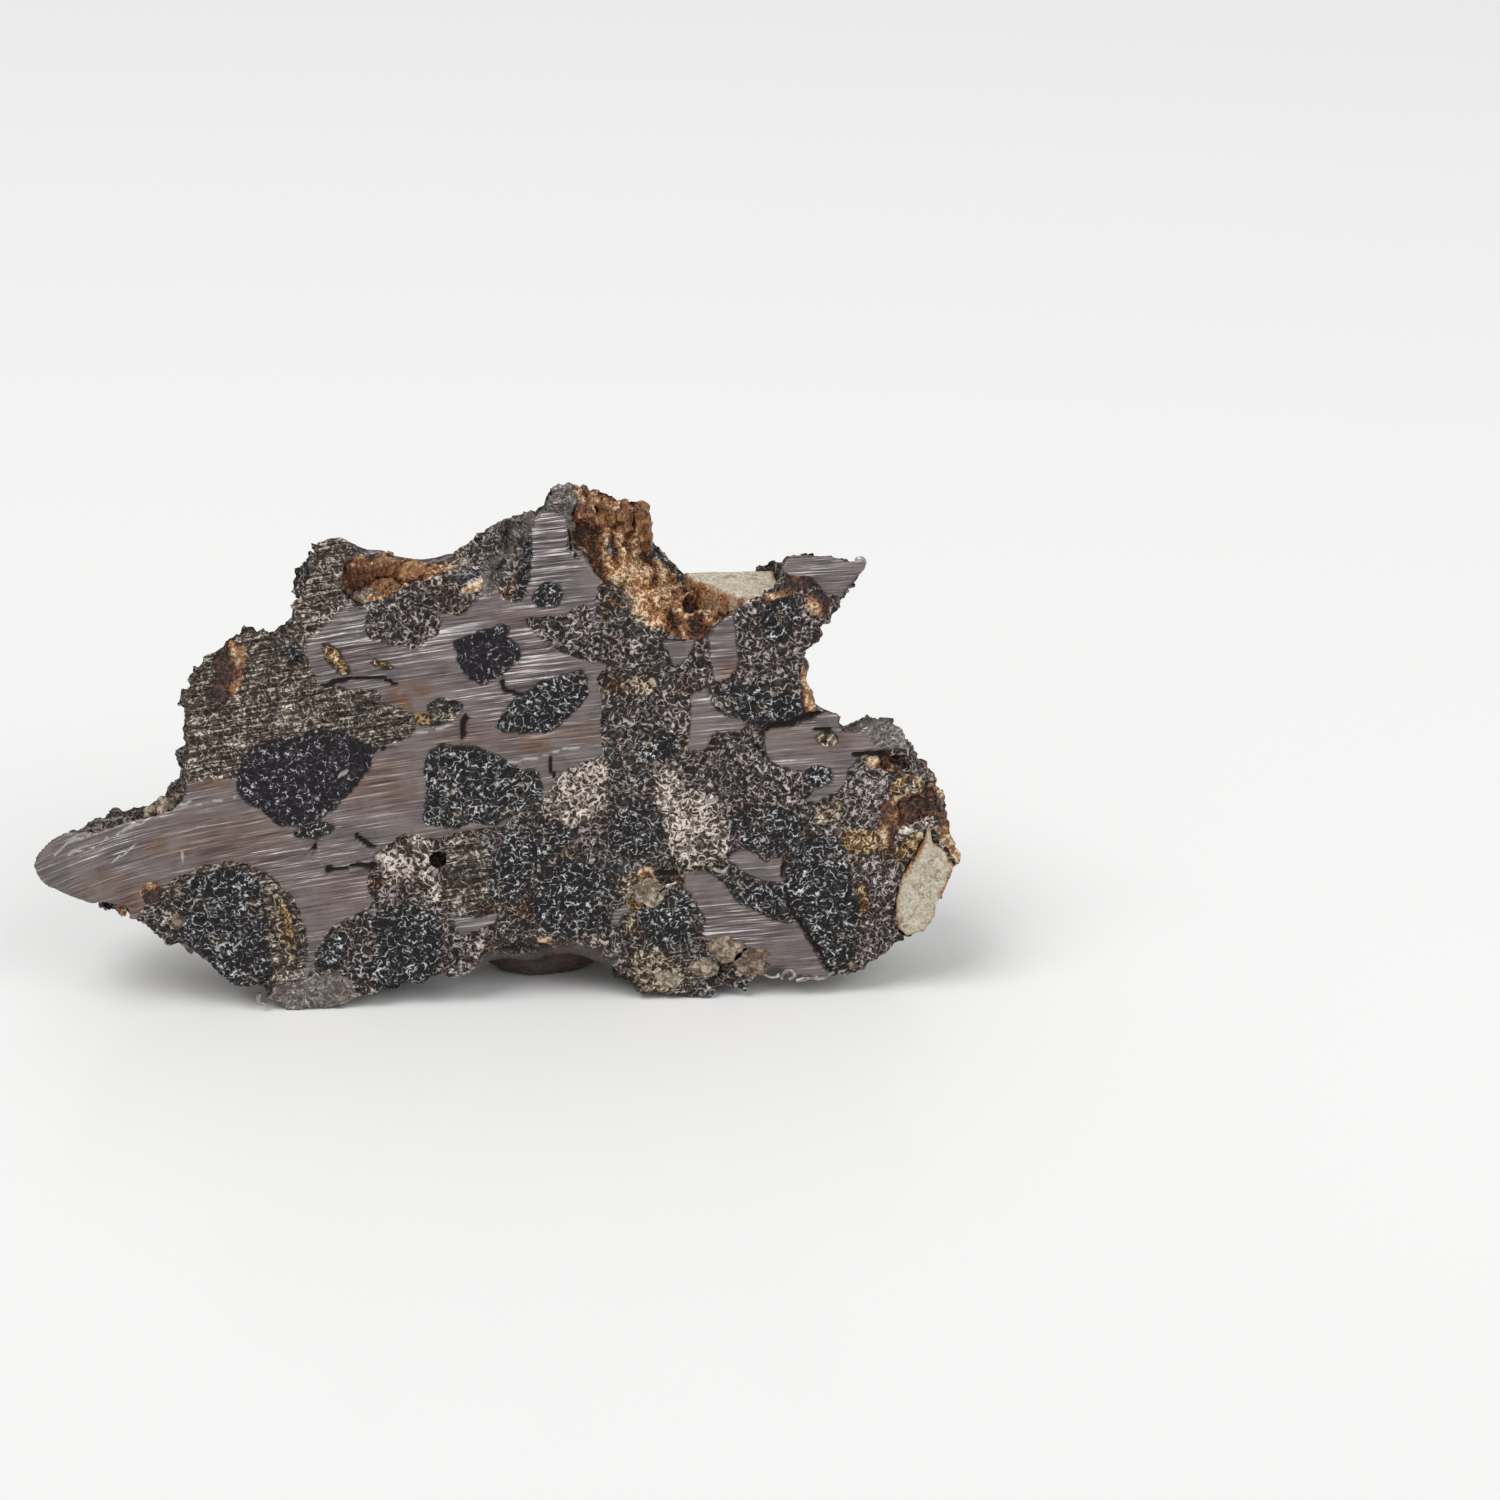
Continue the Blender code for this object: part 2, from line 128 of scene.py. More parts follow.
# What the front cut shows, as outlines in mm: x to the right, z up. It is bare metal
# where no outline is, and a later kind lies over an earlier one.
MATRIX_ZONES = [
    [(-1.1, -0.3), (-0.95, 1.75), (-0.5, 2.0), (-0.35, 2.3), (-0.9, 2.4), (-1.5, 2.6), (-3.0, 2.75),
     (-3.15, 3.2), (-3.0, 4.0), (-2.6, 4.35), (-2.2, 4.6), (-1.5, 4.45), (-0.9, 4.6), (0.0, 4.75),
     (0.5, 5.15), (1.0, 5.4), (1.3, 5.95), (2.0, 6.35), (2.4, 6.5), (2.3, 7.2), (2.35, 7.9), (2.2, 8.4),
     (2.6, 8.8), (2.2, 9.3), (2.2, 10.2), (2.35, 10.9), (2.0, 11.5), (1.85, 12.1), (1.8, 13.2),
     (11.2, 13.2), (11.2, -0.3)],
    [(-0.4, 12.3), (0.1, 10.4), (0.55, 10.3), (0.75, 10.6), (0.76, 12.4)],
    [(-3.35, 10.4), (-2.9, 10.15), (-1.5, 10.1), (-0.75, 10.0), (-0.3, 10.5), (-0.25, 11.5), (-1.2, 12.0),
     (-3.1, 12.2)],
]
METAL_ZONES = [
    [(4.75, 9.3), (4.8, 9.6), (5.1, 9.8), (5.3, 9.95), (5.4, 9.5), (5.45, 9.1), (5.5, 8.7), (5.3, 8.35),
     (4.95, 8.25), (4.8, 8.6)],
    [(3.6, 9.35), (4.2, 9.3), (4.5, 9.35), (4.35, 8.9), (4.1, 8.6), (3.95, 8.7), (3.85, 9.0)],
    [(6.3, 10.8), (6.25, 11.3), (6.6, 11.5), (7.1, 11.55), (7.7, 11.45), (8.1, 11.2), (8.35, 11.4),
     (8.5, 11.0), (8.1, 10.7), (7.9, 10.45), (7.75, 10.2), (7.4, 10.35), (7.2, 10.6), (6.9, 10.75)],
    [(4.35, 7.9), (4.75, 8.1), (4.95, 7.6), (5.3, 7.35), (5.7, 7.2), (5.6, 7.0), (4.9, 6.95),
     (4.75, 6.55), (4.3, 6.5), (4.35, 7.0)],
    [(6.05, 7.0), (6.6, 7.1), (7.2, 7.3), (7.5, 7.5), (7.8, 7.5), (7.9, 7.0), (8.2, 6.9), (8.3, 7.1),
     (8.9, 7.4), (9.35, 7.2), (9.5, 6.8), (9.4, 6.45), (8.7, 6.4), (8.3, 6.35), (8.05, 6.0), (7.95, 5.6),
     (7.6, 5.3), (7.3, 5.1), (7.0, 5.2), (7.3, 5.6), (7.0, 5.9), (6.6, 6.0), (6.2, 6.2), (6.05, 6.6)],
    [(4.2, 3.0), (4.3, 3.4), (4.9, 3.4), (5.2, 3.1), (5.4, 2.7), (6.0, 2.3), (6.5, 2.05), (6.9, 2.0),
     (7.2, 1.5), (7.5, 0.9), (7.75, 0.55), (7.3, 0.2), (6.8, 0.4), (6.3, 0.75), (6.0, 1.1), (5.5, 1.3),
     (5.3, 1.6), (4.7, 1.6), (4.7, 2.2), (4.4, 2.8)],
    [(5.2, 3.7), (5.5, 4.0), (5.9, 3.9), (6.1, 3.65), (6.5, 3.7), (6.6, 3.1), (6.2, 3.05), (5.7, 3.3)],
    [(-1.4, 2.5), (-0.7, 2.35), (-0.1, 2.45), (-0.2, 2.1), (-0.8, 1.85), (-1.3, 1.85)],
    [(2.55, 2.5), (2.9, 2.6), (3.0, 2.3), (2.7, 2.0), (2.5, 2.1)],
]
GRAIN_ZONES = [
    [(-7.6, 5.9), (-7.6, 8.8), (-7.0, 9.9), (-5.0, 10.3), (-4.9, 11.0), (-4.5, 12.3), (-2.8, 12.3),
     (-2.9, 11.6), (-3.4, 11.0), (-3.3, 10.3), (-3.7, 9.9), (-4.2, 9.5), (-4.3, 9.2), (-4.0, 8.4),
     (-2.7, 8.2), (-2.5, 7.9), (-1.9, 7.6), (-1.9, 7.1), (-2.8, 6.65), (-4.0, 6.9), (-5.5, 6.6),
     (-5.95, 6.0), (-6.2, 6.1), (-7.0, 6.0)],
    [(-7.9, 3.3), (-7.5, 3.6), (-6.9, 3.9), (-6.2, 4.0), (-5.8, 3.9), (-5.3, 3.6), (-4.9, 3.1),
     (-4.6, 2.3), (-4.55, 1.6), (-4.7, 0.9), (-5.2, 0.5), (-6.5, 0.3), (-8.0, 1.5)],
    [(-1.4, 4.2), (-1.0, 4.5), (-0.5, 4.4), (-0.2, 3.9), (-0.3, 2.9), (-0.9, 2.4), (-1.4, 2.7),
     (-1.3, 3.4)],
    [(-1.6, 7.95), (-1.2, 8.0), (-0.8, 7.85), (-0.9, 7.5), (-1.4, 7.25), (-1.7, 7.35)],
    [(1.75, 11.4), (1.95, 12.0), (1.9, 12.9), (1.68, 12.9), (1.6, 11.6)],
    [(3.0, 1.4), (3.7, 1.5), (4.3, 1.3), (4.6, 0.9), (4.4, 0.2), (3.9, -0.2), (2.9, -0.2), (2.9, 0.7)],
]
BROWN_ZONES = [
    [(5.4, 10.0), (6.0, 10.2), (6.3, 10.45), (6.9, 10.6), (7.3, 10.4), (7.7, 10.3), (7.7, 9.9),
     (7.3, 9.5), (7.3, 9.1), (7.1, 8.75), (7.1, 8.2), (7.3, 7.9), (7.4, 7.7), (6.9, 7.3), (6.2, 7.1),
     (5.6, 7.3), (5.0, 7.6), (4.8, 7.9), (5.0, 8.15), (5.5, 8.3), (5.5, 8.6), (5.4, 9.0)],
    [(-2.94, 10.1), (-2.97, 9.58), (-2.56, 9.36), (-1.89, 9.22), (-1.33, 9.52), (-1.22, 9.91),
     (-1.5, 10.24), (-1.39, 10.63), (-1.83, 10.95), (-2.28, 10.7), (-2.5, 10.4)],
    [(0.67, 9.91), (1.0, 9.97), (1.56, 9.99), (1.94, 10.24), (2.17, 10.13), (2.17, 9.69), (2.67, 9.47),
     (3.17, 9.52), (3.56, 9.36), (3.89, 9.02), (3.72, 8.63), (3.22, 8.69), (2.67, 8.72), (2.11, 8.83),
     (1.33, 9.08), (1.0, 9.36), (0.72, 9.69)],
    [(2.45, 8.0), (2.9, 8.1), (3.3, 7.9), (3.9, 8.1), (4.4, 7.8), (4.3, 7.0), (4.2, 6.5), (3.7, 6.2),
     (3.2, 6.3), (2.7, 6.6), (2.4, 7.1), (2.35, 7.6)],
    [(4.9, 6.95), (5.8, 7.0), (5.95, 6.7), (5.9, 6.2), (5.1, 6.2), (4.85, 6.5)],
    [(4.2, 6.1), (4.9, 6.2), (5.9, 6.2), (6.6, 6.0), (7.0, 5.9), (7.3, 5.6), (7.0, 5.2), (7.0, 4.4),
     (6.7, 3.9), (6.1, 3.65), (5.9, 3.9), (5.5, 4.0), (5.2, 3.9), (5.3, 4.3), (5.15, 5.0), (4.9, 5.4),
     (4.2, 5.6)],
    [(4.55, 9.35), (4.3, 8.9), (4.1, 8.55), (4.3, 8.3), (4.8, 8.2), (4.9, 8.6), (4.7, 9.0)],
    [(8.35, 3.7), (8.8, 3.8), (9.3, 3.3), (9.3, 2.6), (9.2, 2.0), (9.3, 1.6), (9.2, 0.9), (8.4, 0.4),
     (8.2, 0.7), (8.45, 1.8), (8.35, 2.6)],
    [(7.0, 4.6), (7.5, 5.2), (7.9, 5.5), (8.1, 5.95), (8.6, 6.0), (8.95, 5.7), (9.0, 5.1), (8.9, 4.5),
     (8.2, 4.45), (7.6, 4.3)],
    [(1.7, 4.5), (2.0, 4.85), (2.45, 4.9), (2.55, 4.2), (2.4, 3.7), (1.8, 3.8), (1.5, 4.1)],
    [(-8.6, 2.4), (-8.3, 2.9), (-7.9, 3.0), (-7.5, 3.0), (-7.3, 2.2), (-7.3, 1.4), (-7.7, 0.9),
     (-8.4, 1.6)],
    [(-1.0, 1.9), (0.0, 2.3), (1.0, 2.0), (1.4, 1.6), (1.2, 1.0), (0.0, 0.9), (-1.0, 1.1)],
    [(-4.6, 0.9), (-4.35, 1.7), (-3.9, 2.3), (-3.3, 2.6), (-2.9, 2.9), (-2.3, 3.0), (-1.6, 2.8),
     (-1.2, 2.4), (-1.0, 1.9), (-0.9, 1.0), (-1.2, 0.5), (-3.4, 0.2), (-3.7, 0.9), (-4.1, 0.9)],
]
BEIGE_ZONES = [
    [(2.6, 11.1), (3.1, 11.2), (3.6, 11.9), (4.2, 11.6), (4.25, 10.9), (4.25, 10.3), (4.3, 9.6),
     (3.6, 9.5), (3.1, 9.65), (2.8, 10.2)],
    [(9.0, 5.75), (9.4, 5.85), (9.85, 5.6), (9.8, 5.25), (9.3, 5.1), (8.95, 5.3)],
    [(2.6, 3.4), (3.2, 3.35), (3.6, 3.0), (3.2, 2.7), (2.8, 2.75)],
    [(3.0, 1.4), (3.9, 1.3), (4.3, 0.7), (3.7, 0.1), (3.0, 0.3)],
    ellipse(-5.1, 2.1, 0.22, 1.1, 8),
    ellipse(-2.4, 0.75, 0.42, 0.14, 8),
    ellipse(6.5, 2.25, 0.3, 0.14, 10),
    ellipse(7.6, 4.85, 0.42, 0.3, 25),
    ellipse(3.2, 8.2, 0.42, 0.28),
    ellipse(2.9, 2.15, 0.16, 0.22),
    ellipse(7.5, 6.75, 0.25, 0.18, -15),
]
BRIGHT_ZONES = [
    [(9.15, 4.65), (9.6, 4.85), (9.95, 4.75), (10.0, 4.4), (9.6, 4.3), (9.2, 4.25)],
    [(1.5, 6.1), (2.0, 6.3), (2.45, 6.4), (2.5, 5.0), (2.0, 4.8), (1.6, 4.6), (1.2, 4.9), (0.9, 5.2),
     (1.1, 5.6), (1.3, 5.9)],
    [(3.5, 6.1), (4.0, 6.1), (4.2, 5.6), (4.9, 5.4), (5.15, 5.0), (5.3, 4.3), (5.2, 3.9), (4.6, 3.55),
     (4.2, 3.6), (3.9, 3.9), (3.8, 4.5), (3.6, 5.2)],
    [(-2.95, 4.05), (-2.6, 4.15), (-2.3, 4.1), (-2.05, 3.9), (-2.0, 3.6), (-2.2, 3.3), (-2.5, 3.2),
     (-2.75, 3.4), (-2.85, 3.7)],
    [(-2.2, 4.5), (-1.9, 4.6), (-1.6, 4.3), (-1.5, 3.9), (-1.4, 3.4), (-1.4, 2.8), (-1.8, 2.7),
     (-1.65, 3.1), (-1.9, 3.4), (-2.0, 3.9)],
    # Painted glint: a white fleck of light on a facet.
    ellipse(4.65, 5.25, 0.3, 0.09, 20),
    ellipse(-3.75, 10.1, 0.42, 0.16, 35),
    # Painted glint: the white fleck of light on a flake.
    ellipse(-0.55, 11.55, 0.2, 0.12, 35),
]
DARK_ZONES = [
    [(-7.38, 3.44), (-6.99, 3.67), (-6.27, 3.8), (-5.93, 3.72), (-5.66, 3.5), (-5.54, 3.0), (-5.49, 2.0),
     (-5.43, 1.0), (-5.5, 0.5), (-6.13, 0.2), (-7.0, 0.6), (-7.8, 1.6), (-7.57, 2.0), (-7.49, 2.83)],
    [(-1.75, 6.22), (-1.61, 6.67), (-1.33, 6.83), (-0.5, 6.78), (-0.11, 6.58), (0.17, 6.39), (0.44, 6.17),
     (0.89, 6.08), (1.0, 5.72), (0.89, 5.33), (0.44, 5.11), (-0.11, 4.72), (-0.67, 4.78), (-1.0, 4.67),
     (-1.78, 4.83), (-1.72, 5.17), (-1.67, 5.5)],
    [(1.0, 8.38), (1.56, 8.52), (1.89, 8.63), (2.03, 8.41), (2.06, 8.02), (1.83, 7.69), (1.5, 7.36),
     (1.11, 7.05), (0.72, 7.05), (0.06, 7.16), (-0.11, 7.24), (0.11, 7.58), (0.44, 7.97)],
    [(0.1, 4.5), (0.5, 4.8), (0.9, 4.85), (1.4, 4.7), (1.7, 4.5), (1.4, 4.1), (1.0, 3.8), (0.9, 3.3),
     (0.5, 3.0), (0.1, 2.7), (-0.3, 2.9), (-0.3, 3.5), (-0.05, 4.0)],
    [(1.3, 3.8), (1.8, 3.75), (2.3, 3.6), (2.5, 3.2), (2.65, 2.8), (2.5, 2.4), (2.2, 2.0), (1.6, 1.8),
     (1.1, 1.9), (0.8, 2.2), (0.6, 2.6), (0.75, 3.1), (1.0, 3.5)],
    [(2.55, 5.0), (2.5, 4.6), (2.55, 4.0), (3.0, 3.8), (3.5, 3.9), (3.75, 4.3), (3.7, 4.9), (3.4, 5.3),
     (2.9, 5.2)],
    [(-3.3, 2.3), (-2.9, 2.6), (-2.4, 2.8), (-1.9, 2.7), (-1.5, 2.4), (-1.4, 1.8), (-1.5, 1.2),
     (-1.8, 0.7), (-2.5, 0.4), (-3.2, 0.2), (-3.5, 0.8), (-3.6, 1.4)],
    [(-4.35, 1.3), (-4.1, 1.8), (-3.8, 2.1), (-3.6, 1.8), (-3.8, 1.3), (-4.1, 1.05)],
    [(3.1, 2.2), (3.3, 2.7), (3.8, 2.95), (4.3, 2.8), (4.55, 2.4), (4.6, 1.9), (4.3, 1.5), (3.7, 1.4),
     (3.3, 1.7)],
    [(6.8, 4.0), (7.3, 4.3), (7.8, 4.2), (8.0, 3.8), (8.1, 3.2), (8.3, 2.5), (8.4, 1.8), (8.3, 1.2),
     (8.0, 0.8), (7.8, 0.65), (7.3, 1.4), (6.9, 2.1), (6.65, 2.6), (6.6, 3.3)],
    [(5.2, 3.1), (5.7, 3.3), (6.1, 3.1), (6.6, 3.0), (6.7, 2.4), (6.9, 2.1), (6.5, 2.05), (6.0, 2.3),
     (5.5, 2.6)],
    [(4.85, 7.8), (5.2, 8.1), (5.9, 8.15), (6.5, 8.0), (6.95, 7.7), (6.9, 7.35), (6.2, 7.1), (5.6, 7.3),
     (5.0, 7.55)],
    [(5.3, 4.9), (5.9, 5.1), (6.6, 5.0), (7.0, 4.6), (6.9, 4.0), (6.4, 3.75), (5.8, 3.9), (5.4, 4.2)],
    ellipse(6.4, 9.75, 0.42, 0.6, -20),
    ellipse(3.6, 6.65, 0.5, 0.3, 10),
    ellipse(1.15, 10.45, 0.36, 0.3, 20),
    ellipse(7.35, 5.8, 0.34, 0.28),
    ellipse(-4.3, 4.72, 0.5, 0.2, 10),
    ellipse(-4.5, 9.1, 0.16, 0.34, 8),
    ellipse(-1.05, 7.75, 0.22, 0.14),
]
DEEP_ZONES = [
    [(-5.99, 5.94), (-5.93, 5.67), (-5.49, 5.28), (-5.1, 4.89), (-4.6, 4.85), (-4.0, 5.11), (-3.67, 5.39),
     (-3.28, 5.83), (-2.97, 6.28), (-2.8, 6.65), (-2.94, 6.91), (-3.44, 7.13), (-4.16, 7.3),
     (-4.43, 7.13), (-5.49, 6.94), (-5.82, 6.63), (-5.93, 6.36)],
    [(-0.97, 9.36), (-0.67, 9.52), (-0.11, 9.72), (0.11, 9.8), (0.31, 9.69), (0.17, 9.47), (0.44, 9.3),
     (0.58, 9.08), (0.5, 8.86), (0.0, 8.47), (-0.33, 8.3), (-0.67, 8.47), (-0.83, 8.8), (-0.94, 9.08)],
    # Painted shade: the recess left of the metal strip near the top, near-black as in shadow.
    [(-0.9, 12.6), (0.8, 12.7), (0.8, 11.4), (0.74, 10.5), (0.45, 10.3), (0.4, 10.9), (-0.5, 11.1),
     (-1.0, 11.7)],
    [(-7.6, 1.4), (-7.1, 1.75), (-6.75, 1.5), (-6.7, 0.9), (-6.9, 0.6), (-7.3, 0.8)],
]
RUST_ZONES = [
    [(1.85, 11.7), (1.85, 13.1), (2.8, 13.2), (3.6, 12.9), (3.65, 12.2), (3.5, 11.6), (3.1, 11.2),
     (2.6, 11.0), (2.35, 11.1)],
    [(4.15, 10.9), (4.9, 11.2), (5.3, 10.6), (5.2, 10.2), (4.8, 9.8), (4.3, 9.9)],
    [(5.8, 10.3), (6.35, 10.9), (7.2, 10.75), (7.1, 10.5), (6.6, 10.35), (6.1, 10.15)],
    [(9.4, 5.9), (9.9, 5.9), (10.5, 5.4), (10.8, 4.5), (10.3, 4.2), (10.05, 4.6), (9.75, 4.7),
     (9.85, 5.2)],
    [(8.75, 5.0), (9.1, 5.2), (9.6, 5.3), (10.0, 5.2), (10.2, 4.7), (9.8, 4.5), (9.3, 4.4), (9.1, 4.0),
     (8.75, 3.8)],
    [(10.1, 4.7), (10.7, 4.2), (11.0, 3.5), (10.7, 3.2), (10.5, 3.7), (10.2, 4.1)],
    ellipse(-0.1, 1.6, 0.35, 0.14, 20),
    ellipse(0.95, 1.65, 0.22, 0.16),
    ellipse(-8.1, 3.2, 0.26, 0.3),
    [(-6.4, 9.4), (-6.0, 9.6), (-5.6, 9.4), (-5.65, 8.8), (-5.85, 8.2), (-6.2, 7.9), (-6.45, 8.2),
     (-6.3, 8.8)],
    [(-3.3, 11.0), (-3.0, 11.4), (-1.2, 11.8), (-1.5, 10.9), (-2.3, 10.75), (-2.9, 10.3), (-3.3, 10.5)],
    ellipse(7.1, 8.0, 0.24, 0.7),
    ellipse(7.25, 10.1, 0.28, 0.35, 20),
    ellipse(4.35, 9.5, 0.5, 0.2),
    ellipse(3.4, 3.35, 0.3, 0.22),
    ellipse(8.85, 6.1, 0.5, 0.18, -10),
    ellipse(-6.15, 9.2, 0.15, 0.25),
    ellipse(-0.35, 10.75, 0.5, 0.16, 25),
]
AMBER_ZONES = [
    ellipse(8.35, 4.08, 0.52, 0.36, -20),
    ellipse(9.5, 3.95, 0.52, 0.22, 42),
    ellipse(9.2, 5.5, 0.22, 0.3, -30),
    ellipse(9.95, 4.95, 0.16, 0.16),
    ellipse(8.45, 2.6, 0.16, 0.5, 8),
    ellipse(3.1, 2.65, 0.2, 0.17),
    ellipse(-1.7, 7.5, 0.2, 0.18),
    ellipse(-3.6, 9.0, 0.46, 0.17, -55),
    ellipse(-5.0, 2.2, 0.12, 0.8, 8),
    ellipse(-2.6, 8.85, 0.26, 0.07, -20),
]
TORN_ZONES = [
    [(8.45, 7.0), (8.6, 7.3), (9.0, 7.5), (9.5, 7.3), (9.6, 6.7), (9.4, 6.4), (8.9, 6.45), (8.5, 6.6)],
    [(-5.4, 0.65), (-4.6, 0.85), (-3.9, 1.0), (-3.45, 0.4), (-3.5, -0.3), (-5.7, -0.3)],
    [(5.9, 1.0), (6.3, 0.85), (6.9, 0.65), (7.4, 0.55), (7.5, 0.3), (6.6, 0.3), (5.9, 0.6)],
    [(-0.3, 10.4), (0.0, 10.5), (0.05, 11.1), (-0.1, 11.3), (-0.3, 11.1)],
]
FRONT_ZONES = {
    "matrix": MATRIX_ZONES, "metal": METAL_ZONES, "grain": GRAIN_ZONES, "brown": BROWN_ZONES,
    "beige": BEIGE_ZONES, "bright": BRIGHT_ZONES, "dark": DARK_ZONES, "deep": DEEP_ZONES,
    "rust": RUST_ZONES, "amber": AMBER_ZONES, "torn": TORN_ZONES,
}
# Pale crystals, each in a pocket of the stone. One stands in the front cut: its outline in x
# and z, then the depths of its open and closed ends. One lies on the saddle: its outline in x
# and depth, then the heights of its ends.
PALE_CRYSTALS = {
    "pale_crystal_right": (
        "standing",
        [(9.95, 4.4), (10.05, 4.0), (10.35, 3.7), (10.55, 3.4), (10.4, 2.9), (10.2, 2.5), (10.15, 2.1),
         (9.9, 1.7), (9.5, 1.6), (9.3, 1.8), (9.25, 2.3), (9.3, 2.9), (9.45, 3.3), (9.7, 3.7), (9.85, 4.1)],
        0.0, 0.7,
    ),
    "pale_plate_saddle": (
        "lying",
        [(4.35, 1.8), (4.5, 1.35), (4.8, 0.95), (5.15, 0.55), (5.4, 0.28), (5.7, 0.22), (6.05, 0.3),
         (6.35, 0.55), (6.4, 1.1), (6.35, 1.8)],
        10.24, 9.55,
    ),
}
# Lumps of glassy olivine and of glossy rust: centre x, depth behind the front cut and z,
# radius, height over width, how far towards the second of the material's two colours
OLIVINE_LUMPS = [
    (5.2, 0.1, 1.35, 0.42, 0.8, 0.6), (5.85, 0.12, 1.0, 0.42, 0.8, 1.0),
    (4.7, 0.15, 0.85, 0.36, 0.8, 0.3), (3.4, 0.1, 2.9, 0.4, 0.8, 0.2), (3.9, 0.15, 0.55, 0.34, 0.8, 0.1),
    (8.3, 0.25, 0.75, 0.26, 0.8, 0.9), (-7.62, 0.2, 2.4, 0.3, 0.8, 0.8),
    (-7.3, 0.25, 1.85, 0.26, 0.8, 0.7), (-7.65, 0.4, 5.3, 0.24, 0.8, 0.5),
    (-8.0, 0.5, 5.1, 0.18, 0.8, 0.3), (6.6, 0.3, 9.0, 0.2, 0.8, 0.5), (-2.85, 0.35, 10.38, 0.3, 0.7, 0.7),
]
RUST_LUMPS = [
    (-3.1, 0.7, 10.72, 0.38, 1.1, 1.0), (-2.5, 0.5, 10.4, 0.36, 0.8, 0.7),
    (-1.85, 1.0, 10.62, 0.38, 0.7, 0.2), (-2.45, 1.1, 10.65, 0.36, 0.9, 0.6),
    (-1.4, 1.2, 10.55, 0.26, 0.7, 0.3), (2.95, 1.8, 11.4, 0.2, 2.6, 0.7),
    (3.38, 1.85, 11.25, 0.2, 3.0, 0.5), (2.5, 1.7, 11.5, 0.2, 2.4, 0.4), (2.05, 1.4, 11.6, 0.2, 2.2, 0.9),
]
# Curls and burrs that the saw left: radius and the points they pass, in x, depth and z
BURRS = [
    (0.035, [(6.55, 0.0, 0.5), (6.62, 0.0, 0.7), (6.8, 0.0, 0.72), (6.85, 0.0, 0.58), (6.72, 0.0, 0.5)]),
    (0.05, [(6.9, 0.05, 0.45), (7.2, 0.03, 0.5), (7.55, 0.04, 0.5), (7.8, 0.08, 0.62)]),
    (0.04, [(6.1, 0.1, 0.62), (6.35, 0.03, 0.55), (6.5, 0.03, 0.62)]),
    (0.045, [(-5.75, 0.05, 0.5), (-5.78, 0.02, 0.3), (-5.62, 0.05, 0.18)]),
    (0.07, [(8.08, 0.1, 11.12), (8.2, 0.07, 11.16), (8.28, 0.1, 11.04)]),
    (0.04, [(3.55, 0.03, 2.75), (3.75, 0.02, 3.0), (4.05, 0.03, 3.15)]),
    (0.03, [(4.9, 0.02, 3.5), (5.1, 0.01, 3.4), (5.3, 0.02, 3.6)]),
]
# Brown stains on the metal: centre x and z, half width, half height, strength
STAINS = [
    (-8.0, 3.0, 1.1, 0.5, 0.9), (-7.6, 4.4, 0.7, 0.35, 0.7), (-5.1, 2.0, 0.35, 1.3, 1.0),
    (-2.0, 8.05, 0.6, 0.45, 1.0), (-9.2, 3.5, 0.7, 0.5, 0.5), (1.9, 7.1, 0.9, 0.3, 0.5),
    (-6.6, 4.3, 0.5, 0.2, 0.6), (6.2, 7.0, 1.0, 0.3, 0.4), (7.6, 6.7, 0.8, 0.2, 0.5),
    (-1.0, 7.1, 0.7, 0.3, 0.5), (0.9, 6.75, 0.5, 0.25, 0.9), (-4.6, 0.5, 0.8, 0.4, 0.5),
    (-2.4, 5.9, 0.6, 0.8, 0.55), (5.25, 8.5, 0.25, 0.3, 0.9), (6.1, 2.3, 0.5, 0.15, 0.8),
    (-2.5, 8.8, 0.25, 0.1, 1.0), (-6.6, 6.0, 0.6, 0.25, 0.7), (0.9, 9.9, 0.9, 0.3, 0.4),
    (-6.2, 4.6, 1.6, 0.7, 0.45), (-3.2, 6.1, 0.8, 0.9, 0.6), (0.3, 7.0, 1.6, 0.5, 0.35),
    (-3.6, 3.3, 0.8, 0.8, 0.3),
]
# Where the saw lines are boldest, in the same form
KEEN_SAW = [
    (1.2, 11.4, 0.7, 1.3, 1.2), (-2.6, 9.5, 2.0, 0.8, 1.1), (5.4, 2.0, 1.4, 0.6, 0.9),
    (0.6, 8.2, 1.0, 1.4, 1.0), (-4.5, 4.0, 2.0, 0.8, 0.5), (7.2, 11.1, 1.0, 0.4, 0.7),
    (-9.3, 4.4, 1.2, 0.4, 0.6), (4.9, 8.2, 0.5, 1.4, 0.3),
]
# Rust on the broken rim: centre x, depth behind the front cut and z, reach, strength
RIM_RUST = [
    (-2.2, 1.1, 10.7, 1.5, 1.0), (2.6, 1.4, 11.4, 1.5, 1.1), (3.9, 1.0, 10.0, 1.4, 1.0),
    (5.0, 0.7, 9.9, 0.8, 0.7), (7.2, 1.0, 8.4, 1.2, 0.9), (9.7, 0.9, 5.0, 1.4, 1.0),
    (10.5, 1.2, 3.9, 0.9, 0.9), (0.5, 1.2, 1.0, 1.8, 0.15), (-7.2, 1.6, 8.4, 1.2, 0.5),
    (-8.6, 1.6, 2.0, 1.2, 0.5), (6.3, 1.9, 0.6, 1.2, 0.6), (-6.3, 1.8, 0.9, 1.0, 0.5),
]
# Chipped places that keep the front cut's colours, in the same form. Their colour is also lifted there:
# painted light against the chips' own shade.
CHIPS = [
    (9.6, 0.3, 4.9, 2.4, 1.5), (8.9, 0.2, 6.1, 1.2, 1.0), (0.2, 0.2, 11.4, 1.5, 1.5),
]
# Bare torn metal on the broken rim, in the same form
RIM_METAL = [
    (8.4, 1.3, 7.5, 1.9, 1.2), (6.9, 1.3, 7.7, 1.0, 1.0), (-9.5, 1.3, 4.7, 1.3, 0.8),
    (1.2, 1.3, 12.3, 1.3, 0.9),
]
